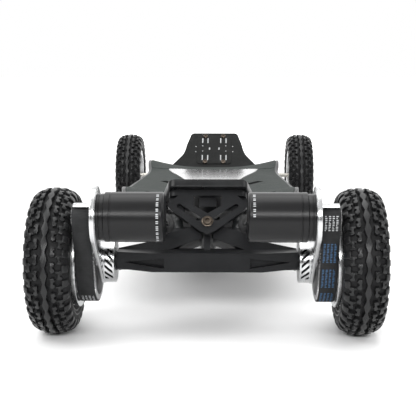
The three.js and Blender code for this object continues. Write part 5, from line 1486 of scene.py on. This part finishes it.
# ---------------------------------------------------------------- setting
@dataclass
class Studio:
    """The camera, the lights and the pale floor."""

    eye: tuple[float, float, float] = (0.0224, -1.691, 0.3607)
    pitch: float = 8.90
    yaw: float = 1.015
    focal: float = 896.2
    picture: float = 416.0
    horizon: float = 0.05
    zenith: float = 1.05
    ahead: float = 1.5

    def camera(self) -> None:
        """Places the camera low down behind the board, looking along it."""
        data = bpy.data.cameras.new("camera")
        data.sensor_width = 36.0
        data.lens = self.focal / self.picture * data.sensor_width
        data.clip_start = 0.05
        camera = bpy.data.objects.new("camera", data)
        camera.location = self.eye
        camera.rotation_euler = (math.radians(90 - self.pitch), 0.0, math.radians(self.yaw))
        bpy.context.scene.collection.objects.link(camera)
        bpy.context.scene.camera = camera

    @staticmethod
    def area(name: str, place: Sequence[float], target: Sequence[float], size: Sequence[float],
             power: float) -> None:
        """Adds a soft rectangular light that faces a target."""
        data = bpy.data.lights.new(name, "AREA")
        data.shape = "RECTANGLE"
        data.size, data.size_y = size
        data.energy = power
        light = bpy.data.objects.new(name, data)
        light.location = place
        light.rotation_euler = (Vector(target) - Vector(place)).to_track_quat("-Z", "Y").to_euler()
        bpy.context.scene.collection.objects.link(light)

    def floor(self) -> None:
        """Adds the pale floor."""
        mesh = bpy.data.meshes.new("floor")
        half = 30.0
        mesh.from_pydata([(-half, -half, 0), (half, -half, 0), (half, half, 0), (-half, half, 0)], [], [(0, 1, 2, 3)])
        floor = bpy.data.objects.new("floor", mesh)
        material = bpy.data.materials.new("floor")
        material.use_nodes = True
        nodes, links = material.node_tree.nodes, material.node_tree.links
        shader = nodes["Principled BSDF"]
        noise, ramp = nodes.new("ShaderNodeTexNoise"), nodes.new("ShaderNodeMapRange")
        noise.inputs["Scale"].default_value = 3.0
        ramp.inputs["To Min"].default_value = 0.5
        ramp.inputs["To Max"].default_value = 0.6
        links.new(noise.outputs["Fac"], ramp.inputs["Value"])
        links.new(ramp.outputs["Result"], shader.inputs["Roughness"])
        shader.inputs["Base Color"].default_value = (0.9, 0.9, 0.9, 1)
        place, split, glow = (nodes.new(f"ShaderNode{kind}") for kind in ("TexCoord", "SeparateXYZ", "MapRange"))
        glow.interpolation_type = "SMOOTHSTEP"
        glow.inputs["From Min"].default_value = 0.7
        glow.inputs["From Max"].default_value = 3.6
        glow.inputs["To Max"].default_value = 0.9
        links.new(place.outputs["Object"], split.inputs["Vector"])
        links.new(split.outputs["Y"], glow.inputs["Value"])
        links.new(glow.outputs["Result"], shader.inputs["Emission Strength"])
        shader.inputs["Emission Color"].default_value = (1, 1, 1, 1)
        mesh.materials.append(material)
        bpy.context.scene.collection.objects.link(floor)

    def sky(self) -> None:
        """Fills the surroundings with soft light: white overhead, dimmer near the horizon, white to the eye."""
        world = bpy.data.worlds.new("studio")
        world.use_nodes = True
        nodes, links = world.node_tree.nodes, world.node_tree.links
        background = nodes["Background"]
        place, split = nodes.new("ShaderNodeTexCoord"), nodes.new("ShaderNodeSeparateXYZ")
        brighter = nodes.new("ShaderNodeMath")
        brighter.operation = "MAXIMUM"
        eye, mix = nodes.new("ShaderNodeLightPath"), nodes.new("ShaderNodeMix")
        links.new(place.outputs["Generated"], split.inputs["Vector"])
        ramps = (("Z", 0.1, 0.85, self.zenith), ("Y", 0.25, 0.8, self.ahead))
        for number, (axis, low, high, full) in enumerate(ramps):
            ramp = nodes.new("ShaderNodeMapRange")
            ramp.inputs["From Min"].default_value = low
            ramp.inputs["From Max"].default_value = high
            ramp.inputs["To Min"].default_value = self.horizon
            ramp.inputs["To Max"].default_value = full
            links.new(split.outputs[axis], ramp.inputs["Value"])
            links.new(ramp.outputs["Result"], brighter.inputs[number])
        links.new(brighter.outputs["Value"], mix.inputs["A"])
        links.new(eye.outputs["Is Camera Ray"], mix.inputs["Factor"])
        mix.inputs["B"].default_value = 1.0
        links.new(mix.outputs["Result"], background.inputs["Strength"])
        background.inputs["Color"].default_value = (1, 1, 1, 1)
        bpy.context.scene.world = world

    def build(self) -> None:
        """Sets up everything."""
        self.camera()
        self.floor()
        self.sky()
        self.area("key", (-1.5, -1.2, 2.0), (0, 0, 0.1), (1.2, 1.2), 26)
        self.area("side", (1.7, -0.6, 1.3), (0, 0, 0.1), (0.9, 0.9), 10)
        self.area("band", (0, -2.1, 0.86), (0, -0.5, 0.15), (2.4, 0.26), 30)
        self.area("top", (0, 0.1, 2.2), (0, 0, 0), (1.8, 1.8), 24)
        scene = bpy.context.scene
        scene.view_settings.view_transform = "Standard"


def main() -> None:
    """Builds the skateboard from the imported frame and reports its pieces."""
    logging.basicConfig(level=logging.INFO, format="%(name)s: %(message)s")
    shop = Workshop(NodeKit())
    Deck(shop).dress()
    for node, finish in (("enclosure_shell", PLASTIC), ("enclosure_gasket", RUBBER), ("battery_pack", WRAP),
                         ("motor_controller", ANODISED), ("charge_port", PLASTIC), ("charge_port_cap", RUBBER),
                         ("power_button", SILVER), ("left_motor_rotor", STEEL), ("right_motor_rotor", STEEL)):
        shop.carried(node, finish)
    for end in End:
        Truck(shop, end).dress()
        for sign in (-1, 1):
            Wheel(shop, end, sign).dress()
    for sign in (-1, 1):
        Drive(shop, sign).dress()
    Studio().build()
    bpy.context.view_layer.update()
    for piece in shop.made:
        LOG.info("%s: %d faces", piece.name, len(piece.data.polygons))


if __name__ == "__main__":
    main()
